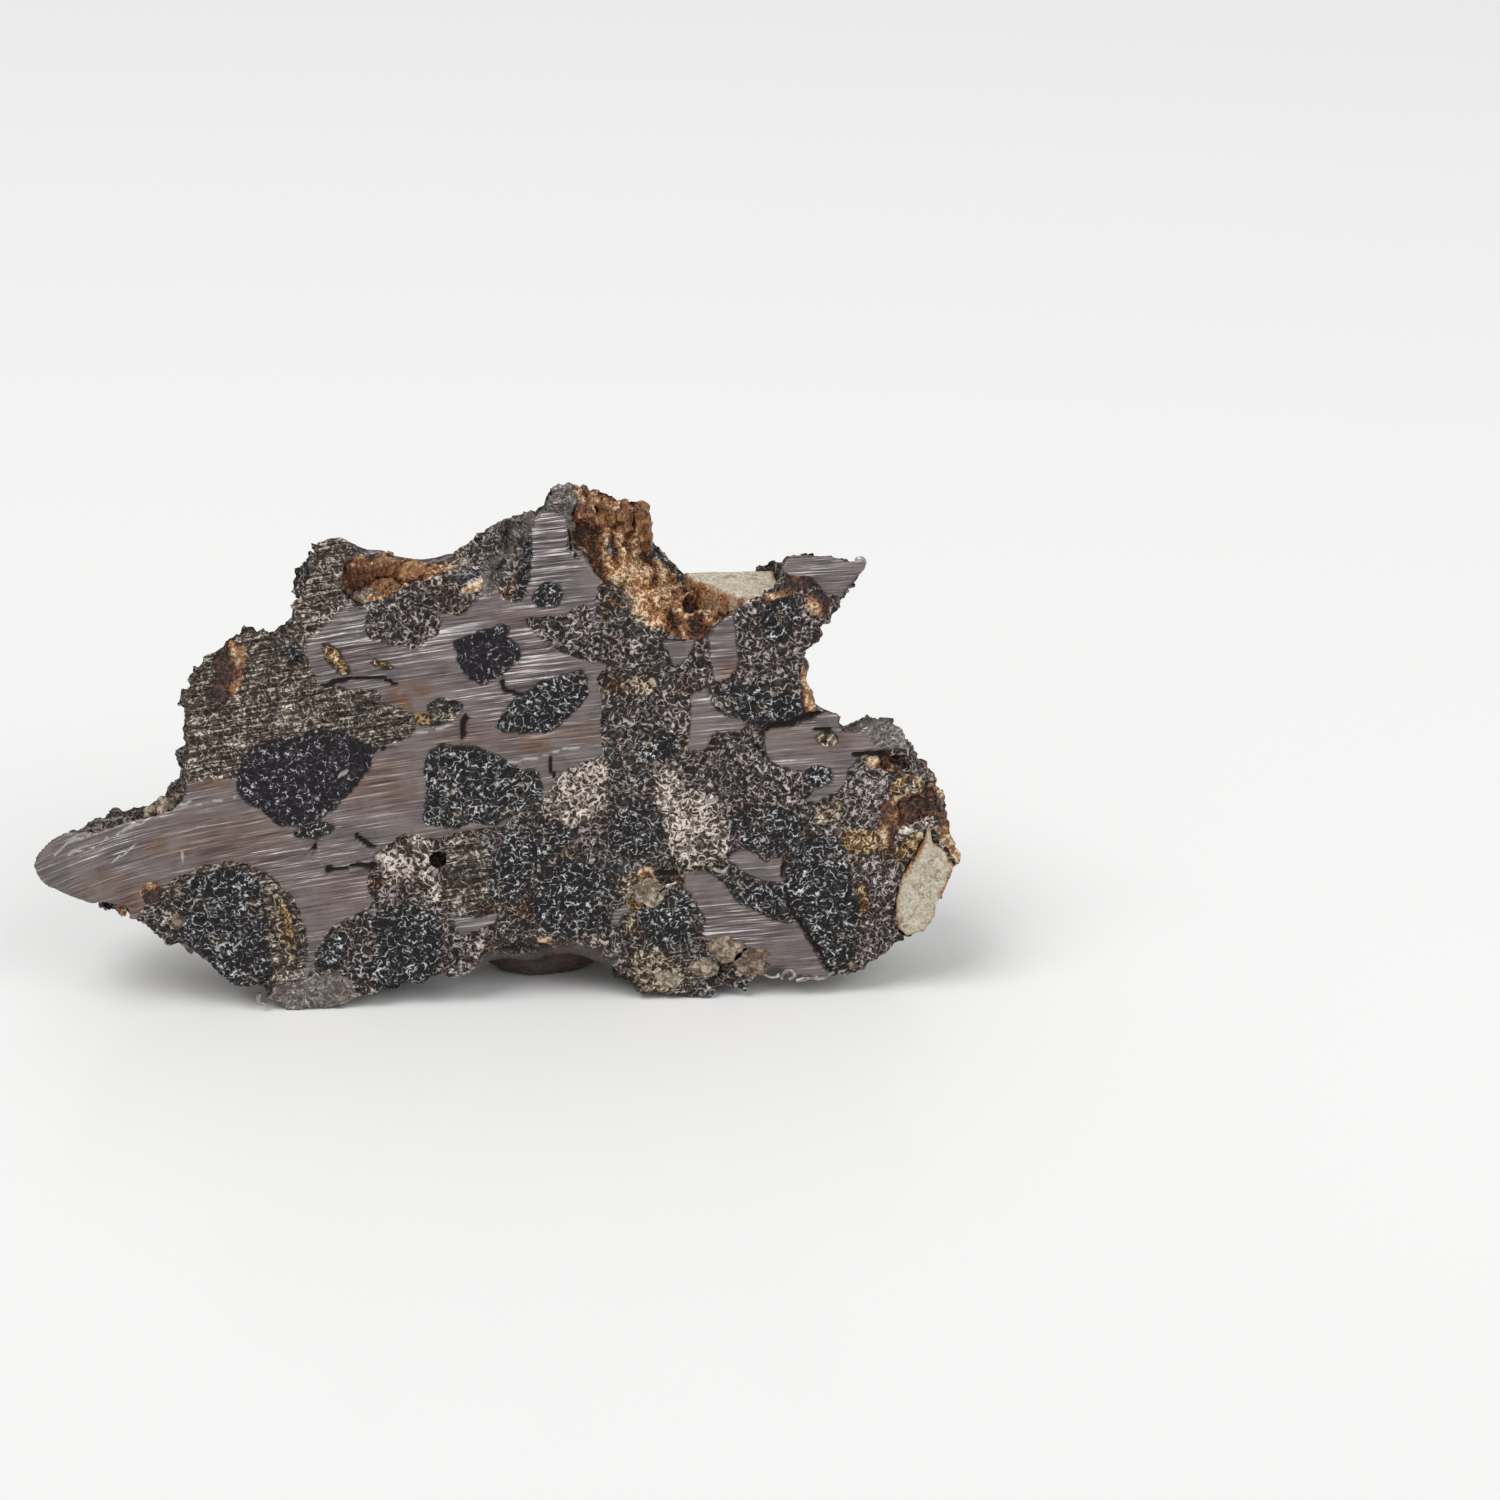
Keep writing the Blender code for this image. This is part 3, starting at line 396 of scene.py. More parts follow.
# The smooth dark bulge under the front: centre as above, radii
BULGE = ((1.0, 1.4, 0.9), (1.9, 1.7, 1.0))
# Dark cracks and smears on the front cut, and one painted shadow in a gap: width and the points they pass
CRACKS = [
    (0.045, [(6.6, 3.9), (6.55, 3.2), (6.7, 2.4), (7.2, 1.6), (7.75, 0.6)]),
    (0.06, [(-3.95, 8.35), (-3.4, 8.5), (-2.6, 8.5), (-2.3, 8.35)]),
    (0.05, [(-4.5, 4.15), (-4.3, 4.35), (-4.35, 4.1)]),
    (0.08, [(-4.0, 3.7), (-3.5, 3.8), (-3.0, 3.8)]),
    (0.09, [(-3.3, 4.55), (-3.1, 4.35), (-2.95, 4.25)]),
    (0.07, [(-0.75, 7.5), (-0.85, 7.2), (-0.85, 7.0)]),
    (0.08, [(0.1, 8.35), (0.2, 8.1), (0.5, 8.0)]),
    (0.07, [(1.15, 6.4), (1.15, 6.2), (1.25, 5.95)]),
    (0.09, [(6.0, 6.9), (6.2, 7.05), (6.8, 7.2), (7.3, 7.45)]),
    # Painted shadow: the black undercut gap under the right lobe's metal.
    (0.1, [(8.2, 6.3), (8.7, 6.35), (9.0, 6.15), (9.35, 6.1)]),
    (0.05, [(5.9, 6.6), (6.1, 6.3)]),
    (0.06, [(7.2, 7.0), (7.6, 6.95)]),
    (0.06, [(-5.5, 0.95), (-5.6, 0.7), (-6.1, 0.55)]),
    (0.12, [(3.6, 3.4), (4.0, 3.35)]),
    (0.05, [(1.75, 12.4), (1.7, 11.6), (1.85, 11.3)]),
]
# Light scratches and burrs on it, and painted glints, in the same form
SCRATCHES = [
    (0.035, [(-7.3, 4.3), (-7.3, 3.95)]),
    (0.04, [(-9.9, 4.25), (-9.3, 4.5), (-8.6, 4.85), (-8.0, 5.1)]),
    (0.035, [(-9.2, 3.9), (-8.7, 4.2), (-8.3, 4.55)]),
    (0.045, [(-10.2, 4.3), (-9.8, 4.6), (-9.4, 4.75)]),
    (0.04, [(-8.4, 5.15), (-7.6, 5.35), (-7.0, 5.6)]),
    (0.035, [(-6.9, 5.45), (-6.0, 5.65)]),
    (0.04, [(-1.9, 7.15), (-1.4, 7.2), (-0.95, 7.4)]),
    (0.035, [(0.2, 6.35), (1.3, 6.6), (2.2, 6.75)]),
    (0.035, [(-6.1, 1.9), (-6.3, 1.75)]),
    # Painted glints: white flecks of light on small facets.
    (0.06, [(-3.65, 6.15), (-3.5, 6.25)]),
    (0.05, [(4.7, 5.2), (4.95, 5.3)]),
    (0.05, [(2.3, 5.15), (2.42, 5.2)]),
]


# Arrays

def hashed(cells, seed):
    """Three numbers from 0 to 1 for each cell of a grid, always the same."""
    key = cells.astype(np.int64) @ np.array([73856093, 19349663, 83492791]) + seed * 2654435761
    columns = []
    for turn in range(3):
        bits = (key + turn * 97003).astype(np.uint64)
        for shift in (33, 29, 32):
            bits = (bits ^ (bits >> np.uint64(shift))) * np.uint64(0xFF51AFD7ED558CCD)
        columns.append((bits >> np.uint64(40)).astype(np.float64) / float(1 << 24))
    return np.stack(columns, axis=1)


def smooth_noise(points, size, seed):
    """Noise from -1 to 1 that changes over this size."""
    at = points / size
    low = np.floor(at)
    part = at - low
    part = part * part * (3 - 2 * part)
    total = np.zeros(len(points))
    for corner in product((0, 1), repeat=3):
        weight = np.prod(np.where(np.array(corner), part, 1 - part), axis=1)
        total += weight * hashed(low + corner, seed)[:, 0]
    return 2 * total - 1


def cell_relief(points, size, seed):
    """Height from -1 to 1 of tilted facets, one for each cell, with grooves between them."""
    at = points / size
    low = np.floor(at)
    first = np.full(len(points), 9.0)
    second = first.copy()
    facet = np.zeros(len(points))
    for corner in product((-1, 0, 1), repeat=3):
        cell = low + corner
        jitter = hashed(cell, seed)
        off = at - cell - jitter
        gap = np.einsum("ij,ij->i", off, off)
        tilt = hashed(cell, seed + 1)
        height = np.einsum("ij,ij->i", off, 2 * tilt - 1) * 1.3 + (tilt[:, 0] * 1.6 - 0.8)
        nearer = gap < first
        second = np.where(nearer, first, np.minimum(second, gap))
        facet = np.where(nearer, height, facet)
        first = np.where(nearer, gap, first)
    groove = np.clip((np.sqrt(second) - np.sqrt(first)) / 0.25, 0, 1)
    return np.clip(facet, -1, 1) * groove - 0.5 * (1 - groove)


def soft_step(value, low, high):
    """A smooth step from 0 to 1 as the value goes from low to high."""
    share = np.clip((value - low) / (high - low), 0, 1)
    return share * share * (3 - 2 * share)


def run_distance(x, z, points):
    """Distance to a run of straight stretches."""
    gap = np.full(len(x), 9.0)
    for (ax, az), (bx, bz) in zip(points, points[1:]):
        dx, dz = bx - ax, bz - az
        along = np.clip(((x - ax) * dx + (z - az) * dz) / (dx * dx + dz * dz), 0, 1)
        gap = np.minimum(gap, np.hypot(x - ax - along * dx, z - az - along * dz))
    return gap


def outline_distance(x, z, outline):
    """Distance to an outline, above 0 inside it."""
    closed = outline + outline[:1]
    inside = np.zeros(len(x), bool)
    for (ax, az), (bx, bz) in zip(closed, closed[1:]):
        if bz != az:
            inside ^= ((az > z) != (bz > z)) & (x < (bx - ax) * (z - az) / (bz - az) + ax)
    gap = run_distance(x, z, closed)
    return np.where(inside, gap, -gap)


def zone_distance(x, z, outlines):
    """Distance to the nearest of these outlines, above 0 inside one, up to 1 mm."""
    best = np.full(len(x), -1.0)
    for outline in outlines:
        corners = np.array(outline)
        low, high = corners.min(axis=0) - 1, corners.max(axis=0) + 1
        near = (x > low[0]) & (x < high[0]) & (z > low[1]) & (z < high[1])
        best[near] = np.maximum(best[near], outline_distance(x[near], z[near], outline))
    return np.clip(best, -1, 1)


def line_strength(places, lines):
    """1 on these lines of the front cut, falling to 0 at their width and a little behind the cut."""
    found = np.zeros(len(places))
    wander = smooth_noise(places, 0.3, seed=51) * 0.05 + smooth_noise(places, 0.12, seed=52) * 0.03
    thinness = 1 + 0.7 * smooth_noise(places, 0.25, seed=53)
    for width, points in lines:
        gap = run_distance(places[:, 0] + wander, places[:, 2] - wander, points) * thinness
        found = np.maximum(found, 1 - soft_step(gap, 0.2 * width, width + 0.02))
    return found * (1 - soft_step(places[:, 1] - FRONT, 0.15, 0.35))


def spot_strength(places, spots):
    """How strongly these balls of colour show, each given as x, depth, z, reach and strength."""
    found = np.zeros(len(places))
    for x, y, z, reach, strength in spots:
        gap = np.linalg.norm(places - (x, FRONT + y, z), axis=1) / reach
        found = np.maximum(found, strength * soft_step(1.2 - gap, 0, 0.8))
    return found


def patch_strength(places, patches):
    """How strongly these ellipses of the cut show."""
    found = np.zeros(len(places))
    for x, z, wide, high, strength in patches:
        gap = np.hypot((places[:, 0] - x) / wide, (places[:, 2] - z) / high)
        found = np.maximum(found, strength * soft_step(1.35 - gap, 0, 1))
    return found


# Meshes

def add_object(name, data):
    made = bpy.data.objects.new(name, data)
    bpy.context.scene.collection.objects.link(made)
    return made


def to_mesh(bm, name):
    mesh = bpy.data.meshes.new(name)
    bm.to_mesh(mesh)
    bm.free()
    return mesh


def to_arrays(mesh):
    """The places in mm and the normals of a mesh's points."""
    places = np.empty(len(mesh.vertices) * 3, np.float32)
    mesh.vertices.foreach_get("co", places)
    normals = np.empty(len(mesh.vertices) * 3, np.float32)
    mesh.vertices.foreach_get("normal", normals)
    return places.reshape(-1, 3).astype(np.float64) / MM, normals.reshape(-1, 3).astype(np.float64)


def set_places(mesh, places):
    """Moves a mesh's points, held within the solid's box."""
    low, high = (np.array(corner) / MM for corner in cad_box)
    mesh.vertices.foreach_set("co", (np.clip(places, low, high) * MM).astype(np.float32).ravel())
    mesh.update()


def add_field(mesh, name, values):
    field = mesh.attributes.new(name, "FLOAT", "POINT")
    field.data.foreach_set("value", values.astype(np.float32))


def evaluated_copy(source, name):
    """A new mesh with the object's modifiers applied."""
    graph = bpy.context.evaluated_depsgraph_get()
    mesh = bpy.data.meshes.new_from_object(source.evaluated_get(graph))
    mesh.name = name
    return mesh


def with_modifier(mesh, name, kind, **settings):
    """The mesh with one modifier applied."""
    holder = add_object(name, mesh)
    modifier = holder.modifiers.new(kind, kind)
    for key, value in settings.items():
        setattr(modifier, key, value)
    made = evaluated_copy(holder, name)
    bpy.data.objects.remove(holder)
    return made


def add_piece(name, mesh, material):
    mesh.materials.clear()
    mesh.materials.append(material)
    piece = add_object(name, mesh)
    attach(piece, "root")
    return piece


def prism(name, way, outline, first, last):
    """A closed mesh: a standing outline drawn out in depth, or a lying one drawn out in height."""
    bm = bmesh.new()
    rings = []
    for end in (first, last):
        if way == "standing":
            corners = [(a, FRONT + end, b) for a, b in outline]
        else:
            corners = [(a, FRONT + b, end) for a, b in outline]
        rings.append([bm.verts.new(Vector(corner) * MM) for corner in corners])
    bm.faces.new(rings[0])
    bm.faces.new(reversed(rings[1]))
    for i in range(len(outline)):
        bm.faces.new((rings[0][i - 1], rings[0][i], rings[1][i], rings[1][i - 1]))
    bmesh.ops.recalc_face_normals(bm, faces=bm.faces)
    return to_mesh(bm, name)


# The stone

def back_zones():
    """The crystals that the back cut shows, spread evenly with wandering outlines."""
    rng = np.random.default_rng(BACK_SEED)
    zones = {kind: [] for kind in FRONT_ZONES}
    zones["matrix"] = FRONT_ZONES["matrix"][:1]
    zones["metal"] = [[(x + 0.5, z - 0.4) for x, z in outline] for outline in FRONT_ZONES["metal"]]
    centres = []
    for _ in range(BACK_TRIES):
        centre = rng.uniform(*BACK_FIELD)
        radius = rng.uniform(*BACK_RADII)
        if all(math.dist(centre, other) > BACK_SPACING * (radius + size) for other, size in centres):
            centres.append((centre, radius))
    for i, ((x, z), radius) in enumerate(centres):
        reaches = radius * rng.uniform(0.72, 1.08, BACK_CORNERS)
        start = rng.uniform(0, math.tau)
        outline = []
        for k, reach in enumerate(reaches):
            turn = start + math.tau * k / BACK_CORNERS
            outline.append((x + reach * math.cos(turn), z + 0.8 * reach * math.sin(turn)))
        zones[BACK_KINDS[i % len(BACK_KINDS)]].append(outline)
    for place in ((9.0, 4.6, 0.8, 0.6), (3.2, 10.9, 0.8, 0.6), (-2.2, 9.9, 0.7, 0.4)):
        zones["rust"].append(ellipse(*place))
    return zones


def zone_fields(places):
    """Each kind's distance on the cuts and inside the stone, above 0 within it."""
    depth = np.clip(places[:, 1] - FRONT, 0, THICKNESS)
    fields = {}
    for kind, outlines in FRONT_ZONES.items():
        fields[kind] = zone_distance(places[:, 0], places[:, 2], outlines) - TAPER * depth
    for kind, outlines in back_zones().items():
        behind = zone_distance(places[:, 0], places[:, 2], outlines) - TAPER * (THICKNESS - depth)
        fields[kind] = np.where(depth > THICKNESS / 2, behind, fields[kind])
    return fields


# How rough each kind is, next to the weathered grain
ROUGHNESS = {
    "matrix": 0.9, "metal": 0.0, "grain": 1.0, "brown": 0.85, "beige": 0.9, "bright": 0.6,
    "dark": 0.75, "deep": 0.6, "rust": 1.0, "amber": 0.8, "torn": 0.5,
}


def stone_fields(places, normals):
    """What the relief and the material read at each point."""
    fields = zone_fields(places)
    depth = places[:, 1] - FRONT
    inside = np.minimum(depth, THICKNESS - depth)
    edge = smooth_noise(places, 0.22, seed=3) * 0.06
    rough = np.zeros(len(places))
    for kind, wanted in ROUGHNESS.items():
        rough += (wanted - rough) * soft_step(fields[kind] + edge, -0.02, 0.05)
    rim = soft_step(inside, 0.03, 0.16)
    rough = np.maximum(rough, 1.25 * rim)
    centre, radii = BULGE
    bulge = 1.3 - np.linalg.norm((places - (centre[0], FRONT + centre[1], centre[2])) / radii, axis=1)
    underside = 1.25 - places[:, 2] + 0.3 * np.abs(places[:, 0] - 0.3)
    bulge = soft_step(bulge, 0.0, 0.3) * soft_step(underside, 0, 0.3)
    rough *= 1 - 0.85 * bulge
    fields["rim"] = soft_step(inside, 0.06, 0.2) * soft_step(0.97 - np.abs(normals[:, 1]), -0.03, 0.2)
    fields["chip"] = np.clip(spot_strength(places, CHIPS), 0, 1)
    fields["rim"] *= 1 - fields["chip"]
    fields["bulge"] = bulge
    fields["stony"] = np.clip(rough, 0, 1)
    fields["rim_rust"] = spot_strength(places, RIM_RUST)
    fields["rim_metal"] = spot_strength(places, RIM_METAL)
    fields["crack"] = line_strength(places, CRACKS)
    fields["scratch"] = line_strength(places, SCRATCHES)
    fields["stain"] = patch_strength(places, STAINS)
    fields["keen"] = patch_strength(places, KEEN_SAW)
    fields["rough"] = rough
    fields["rim_depth"] = rim
    return fields


def saw_course(x, z):
    """How far across the saw lines a point is. They rise to the right, steepest at the left end."""
    tip = np.maximum(-7 - x, 0)
    return z - 0.118 * x + 0.0048 * x * x + 0.035 * tip * tip


def relief(places, fields):
    """How far, in mm, the real surface stands off the solid's own."""
    rough, rim = fields["rough"], fields["rim_depth"]
    grains = cell_relief(places, 0.17, seed=7) * 0.04 + cell_relief(places, 0.36, seed=9) * 0.055
    grains += smooth_noise(places, 0.6, seed=12) * 0.03
    lumps = (cell_relief(places, 0.75, seed=21) * 0.085 + smooth_noise(places, 1.1, seed=22) * 0.05) * rim
    rusty = np.maximum(soft_step(fields["rust"], 0, 0.15), np.clip(fields["rim_rust"], 0, 1) * rim)
    folds = 1 - 2.4 * np.abs(smooth_noise(places * (1.0, 0.8, 0.35), 0.34, seed=31))
    fields["fold"] = folds
    total = rough * (grains - 0.05) + lumps * (1 - 0.8 * fields["bulge"])
    total += rusty * np.clip(folds, -1, 1) * FOLD_HEIGHT
    total -= CRACK_DEPTH * fields["crack"]
    x = places[:, 0]
    saw = smooth_noise(np.stack([x / 18, 0 * x, saw_course(x, places[:, 2])], 1), 0.3, seed=41)
    return total + (1 - np.clip(rough, 0, 1)) * (saw * SAW_DEPTH - SAW_DEPTH)


def build_slice():
    """The stone: the CAD solid remeshed finely, with the relief of its grains and crystals."""
    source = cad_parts[CAD_NODE].data.copy()
    for way, outline, open_end, closed_end in PALE_CRYSTALS.values():
        outward = math.copysign(POCKET_REACH, open_end - closed_end)
        blank = prism("pocket", way, outline, open_end + outward, closed_end)
        pocket = add_object("pocket", blank)
        cut = {"operation": "DIFFERENCE", "object": pocket, "solver": "EXACT"}
        source = with_modifier(source, "pocketed", "BOOLEAN", **cut)
        bpy.data.objects.remove(pocket)
    fine = with_modifier(source, "fine", "REMESH", mode="VOXEL", voxel_size=VOXEL * MM)
    places, normals = to_arrays(fine)
    fields = stone_fields(places, normals)
    height = relief(places, fields)
    set_places(fine, places + normals * height[:, None])
    # Painted shade: where the relief dips below the solid, the colour is darkened as if in shadow.
    fields["hollow"] = soft_step(-height - 0.02, -0.05, 0.09)
    fields["across"] = saw_course(places[:, 0], places[:, 2])
    for name, values in fields.items():
        if name not in ("rough", "rim_depth"):
            add_field(fine, name, values)
    fine.shade_smooth()
    piece = add_piece("meteorite_slice_surface", fine, stone_material())
    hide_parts(CAD_NODE)


def build_pale_crystals():
    """The clear crystals, with a flat sawn face and a rusty edge."""
    material = pale_material()
    for name, (way, outline, open_end, closed_end) in PALE_CRYSTALS.items():
        sunk_end = closed_end + math.copysign(SINK, closed_end - open_end)
        blank = prism(name, way, outline, open_end, sunk_end)
        mesh = with_modifier(blank, name, "REMESH", mode="VOXEL", voxel_size=CRYSTAL_VOXEL * MM)
        places, normals = to_arrays(mesh)
        height = cell_relief(places, 0.4, seed=61) * 0.02 + smooth_noise(places, 0.2, seed=62) * 0.012
        if way == "standing":
            across, outward = places[:, 2], -normals[:, 1]
        else:
            across, outward = places[:, 1] - FRONT, normals[:, 2]
        flat = soft_step(outward, 0.5, 0.9)
        inside = outline_distance(places[:, 0], across, outline)
        inside += smooth_noise(places, 0.25, seed=63) * 0.07
        add_field(mesh, "crust", 1 - soft_step(inside, -0.01, 0.1))
        set_places(mesh, places + normals * (height * (1 - 0.6 * flat) + 0.02 * (1 - flat))[:, None])
        mesh.shade_smooth()
        add_piece(name, mesh, material)


def build_lumps(name, lumps, material):
    """Lumps that stand out of the broken places, in one piece."""
    bm = bmesh.new()
    second = []
    for x, depth, z, radius, tall, share in lumps:
        place = Matrix.Translation(Vector((x, FRONT + depth, z)) * MM)
        stretch = Matrix.Diagonal((1.1, 0.8, tall * 1.1, 1))
        made = bmesh.ops.create_icosphere(bm, subdivisions=5, radius=radius * MM, matrix=place @ stretch)
        second += [share] * len(made["verts"])
    mesh = to_mesh(bm, name)
    places, normals = to_arrays(mesh)
    height = cell_relief(places, 0.42, seed=71) * 0.08
    height += smooth_noise(places * (1, 1, 0.4), 0.25, seed=72) * 0.08
    set_places(mesh, places + normals * height[:, None])
    add_field(mesh, "second", np.array(second))
    mesh.shade_smooth()
    add_piece(name, mesh, material)


def build_burrs():
    """The curls of metal along the cut's edge."""
    data = bpy.data.curves.new("burrs", "CURVE")
    data.dimensions = "3D"
    data.bevel_depth = MM
    data.bevel_resolution = 3
    for radius, points in BURRS:
        curl = data.splines.new("BEZIER")
        curl.bezier_points.add(len(points) - 1)
        for knot, (x, depth, z) in zip(curl.bezier_points, points):
            knot.co = Vector((x, FRONT + depth, z)) * MM
            knot.radius = radius
            knot.handle_left_type = knot.handle_right_type = "AUTO"
    holder = add_object("burrs", data)
    mesh = evaluated_copy(holder, "metal_burrs")
    bpy.data.objects.remove(holder)
    places, normals = to_arrays(mesh)
    set_places(mesh, places + normals * smooth_noise(places, 0.12, seed=81)[:, None] * 0.02)
    mesh.shade_smooth()
    graph = Graph("torn_metal")
    colour = graph.ramp(graph.noise(0.2), (0.35, (0.2, 0.17, 0.16)), (0.65, (0.6, 0.56, 0.54)))
    graph.look("Base Color", colour)
    graph.look("Metallic", 0.8)
    graph.look("Roughness", 0.4)
    add_piece("metal_burrs", mesh, graph.material)


# Materials

class Graph:
    """Builds the nodes of one material with short calls. Lengths in it are in mm."""

    def __init__(self, name):
        self.material = bpy.data.materials.new(name)
        self.material.use_nodes = True
        self.tree = self.material.node_tree
        self.shader = self.tree.nodes["Principled BSDF"]
        place = self.node("ShaderNodeTexCoord").outputs["Object"]
        scaled = self.node("ShaderNodeVectorMath", operation="SCALE")
        scaled.inputs["Scale"].default_value = 1 / MM
        self.tree.links.new(place, scaled.inputs[0])
        self.place = scaled.outputs["Vector"]

    def node(self, kind, **settings):
        made = self.tree.nodes.new(kind)
        for key, value in settings.items():
            setattr(made, key, value)
        return made

    def feed(self, socket, value):
        """Links a socket to another, or sets its number or colour."""
        if isinstance(value, bpy.types.NodeSocket):
            self.tree.links.new(value, socket)
        elif isinstance(value, tuple) and len(value) == 3:
            socket.default_value = (*value, 1)
        else:
            socket.default_value = value

    def look(self, name, value):
        """Sets one of the shader's inputs."""
        self.feed(self.shader.inputs[name], value)

    def math(self, operation, first, second=0.0, third=0.0):
        made = self.node("ShaderNodeMath", operation=operation)
        for socket, value in zip(made.inputs, (first, second, third)):
            self.feed(socket, value)
        return made.outputs[0]

    def swing(self, value, reach, middle=0.5):
        """How far a value is from the middle, times the reach."""
        return self.math("MULTIPLY", self.math("SUBTRACT", value, middle), reach)

    def mix(self, share, first, second):
        """A number between two numbers."""
        made = self.node("ShaderNodeMix", data_type="FLOAT")
        for i, value in ((0, share), (2, first), (3, second)):
            self.feed(made.inputs[i], value)
        return made.outputs[0]

    def blend(self, share, first, second):
        """A colour between two colours."""
        made = self.node("ShaderNodeMix", data_type="RGBA")
        for i, value in ((0, share), (6, first), (7, second)):
            self.feed(made.inputs[i], value)
        return made.outputs[2]

    def step(self, value, low, high, to_low=0.0, to_high=1.0):
        """A smooth step from to_low to to_high as the value goes from low to high."""
        made = self.node("ShaderNodeMapRange", interpolation_type="SMOOTHSTEP")
        for socket, number in zip(made.inputs, (value, low, high, to_low, to_high)):
            self.feed(socket, number)
        return made.outputs[0]

    def noise(self, size, detail=3.0, roughness=0.55, vector=None, distortion=0.0):
        made = self.node("ShaderNodeTexNoise")
        made.inputs["Distortion"].default_value = distortion
        self.feed(made.inputs["Vector"], vector or self.place)
        made.inputs["Scale"].default_value = 1 / size
        made.inputs["Detail"].default_value = detail
        made.inputs["Roughness"].default_value = roughness
        return made.outputs["Fac"]

    def cells(self, size):
        made = self.node("ShaderNodeTexVoronoi")
        self.feed(made.inputs["Vector"], self.place)
        made.inputs["Scale"].default_value = 1 / size
        return made.outputs

    def parts(self, colour):
        """The three numbers of a colour socket."""
        made = self.node("ShaderNodeSeparateColor")
        self.feed(made.inputs[0], colour)
        return made.outputs

    def axes(self):
        """The place's x, y and z."""
        made = self.node("ShaderNodeSeparateXYZ")
        self.feed(made.inputs[0], self.place)
        return made.outputs

    def field(self, name):
        return self.node("ShaderNodeAttribute", attribute_name=name).outputs["Fac"]

    def ramp(self, value, *stops):
        """A colour ramp through (place, colour) stops."""
        made = self.node("ShaderNodeValToRGB")
        self.feed(made.inputs[0], value)
        while len(made.color_ramp.elements) < len(stops):
            made.color_ramp.elements.new(0.5)
        for element, (place, colour) in zip(made.color_ramp.elements, stops):
            element.position = place
            element.color = (*colour, 1)
        return made.outputs[0]

    def bump(self, height, reach):
        """A normal from a height, where 1 stands for reach in mm."""
        made = self.node("ShaderNodeBump")
        self.feed(made.inputs["Height"], height)
        made.inputs["Distance"].default_value = reach * MM
        return made.outputs[0]


def layer(graph, mask, below, above):
    """Lays one finish over another by a mask. A finish is a colour, roughness and metallic."""
    colour = graph.blend(mask, below[0], above[0])
    return (colour, *(graph.mix(mask, a, b) for a, b in zip(below[1:], above[1:])))


def saw_lines(graph):
    """The fine scratches of the saw, from 0 to 1."""
    joined = graph.node("ShaderNodeCombineXYZ")
    graph.feed(joined.inputs[0], graph.math("DIVIDE", graph.axes()[0], 2.0))
    graph.feed(joined.inputs[2], graph.math("DIVIDE", graph.field("across"), 0.062))
    return graph.noise(1.0, detail=2.0, roughness=0.85, vector=joined.outputs[0])


def metal_finish(graph, lines, patch):
    """Sawn metal with duller patches and brown stains."""
    grey = graph.ramp(
        lines, (0.33, (0.1, 0.08, 0.077)), (0.44, (0.22, 0.181, 0.174)), (0.57, (0.3, 0.252, 0.246)),
        (0.63, (0.56, 0.5, 0.49)), (0.7, (0.95, 0.92, 0.9)),
    )
    grey = graph.blend(graph.step(patch, 0.42, 0.62, 0.0, 0.5), grey, (0.15, 0.125, 0.14))
    stain = graph.math("MULTIPLY", graph.field("stain"), graph.step(patch, 0.32, 0.46))
    brown = graph.ramp(
        lines, (0.35, (0.07, 0.032, 0.017)), (0.55, (0.22, 0.11, 0.055)), (0.7, (0.45, 0.3, 0.2)),
    )
    grey = graph.blend(graph.math("MULTIPLY", stain, 0.8), grey, brown)
    return grey, graph.mix(lines, 0.32, 0.5), graph.mix(stain, 0.8, 0.3)


def granular(graph, shade, mean, light, rough, shine=0.0):
    """Broken crystal grains by their shade: from black pits through the mean colour to light flecks, whose
    lightest are painted glints.
    """

    def times(factor):
        return tuple(part * factor for part in mean)

    bright = tuple((part * 1.9 + tint) / 2 for part, tint in zip(mean, light))
    colour = graph.ramp(
        shade, (0.08, times(0.08)), (0.3, times(0.4)), (0.54, times(1.1)), (0.74, bright), (0.92, light),
    )
    return colour, rough, shine


# The kinds that a dark seam outlines, and the finishes of seams, cracks and scratches
SEAMED_KINDS = ("metal", "beige", "dark", "deep", "amber")
SEAM = ((0.016, 0.012, 0.011), 0.6, 0.0)
CRACK = ((0.015, 0.01, 0.009), 0.6, 0.0)
SCRATCH = ((0.5, 0.48, 0.47), 0.35, 0.5)


def saw_marks(graph, patch):
    """The saw's scratches and its even waves, boldest where the keen field is."""
    lines = graph.math("SUBTRACT", saw_lines(graph), 0.5)
    keenness = graph.step(patch, 0.35, 0.62, 0.6, 1.15)
    keenness = graph.math("MULTIPLY_ADD", graph.field("keen"), 0.9, keenness)
    lines = graph.math("MULTIPLY_ADD", lines, keenness, 0.5)
    phase = graph.math("MULTIPLY", graph.noise(1.5), 6.0)
    phase = graph.math("MULTIPLY_ADD", graph.field("across"), math.tau / SAW_PITCH, phase)
    wave = graph.math("MULTIPLY", graph.math("SINE", phase), graph.field("keen"))
    return graph.math("MULTIPLY_ADD", wave, 0.07, lines)


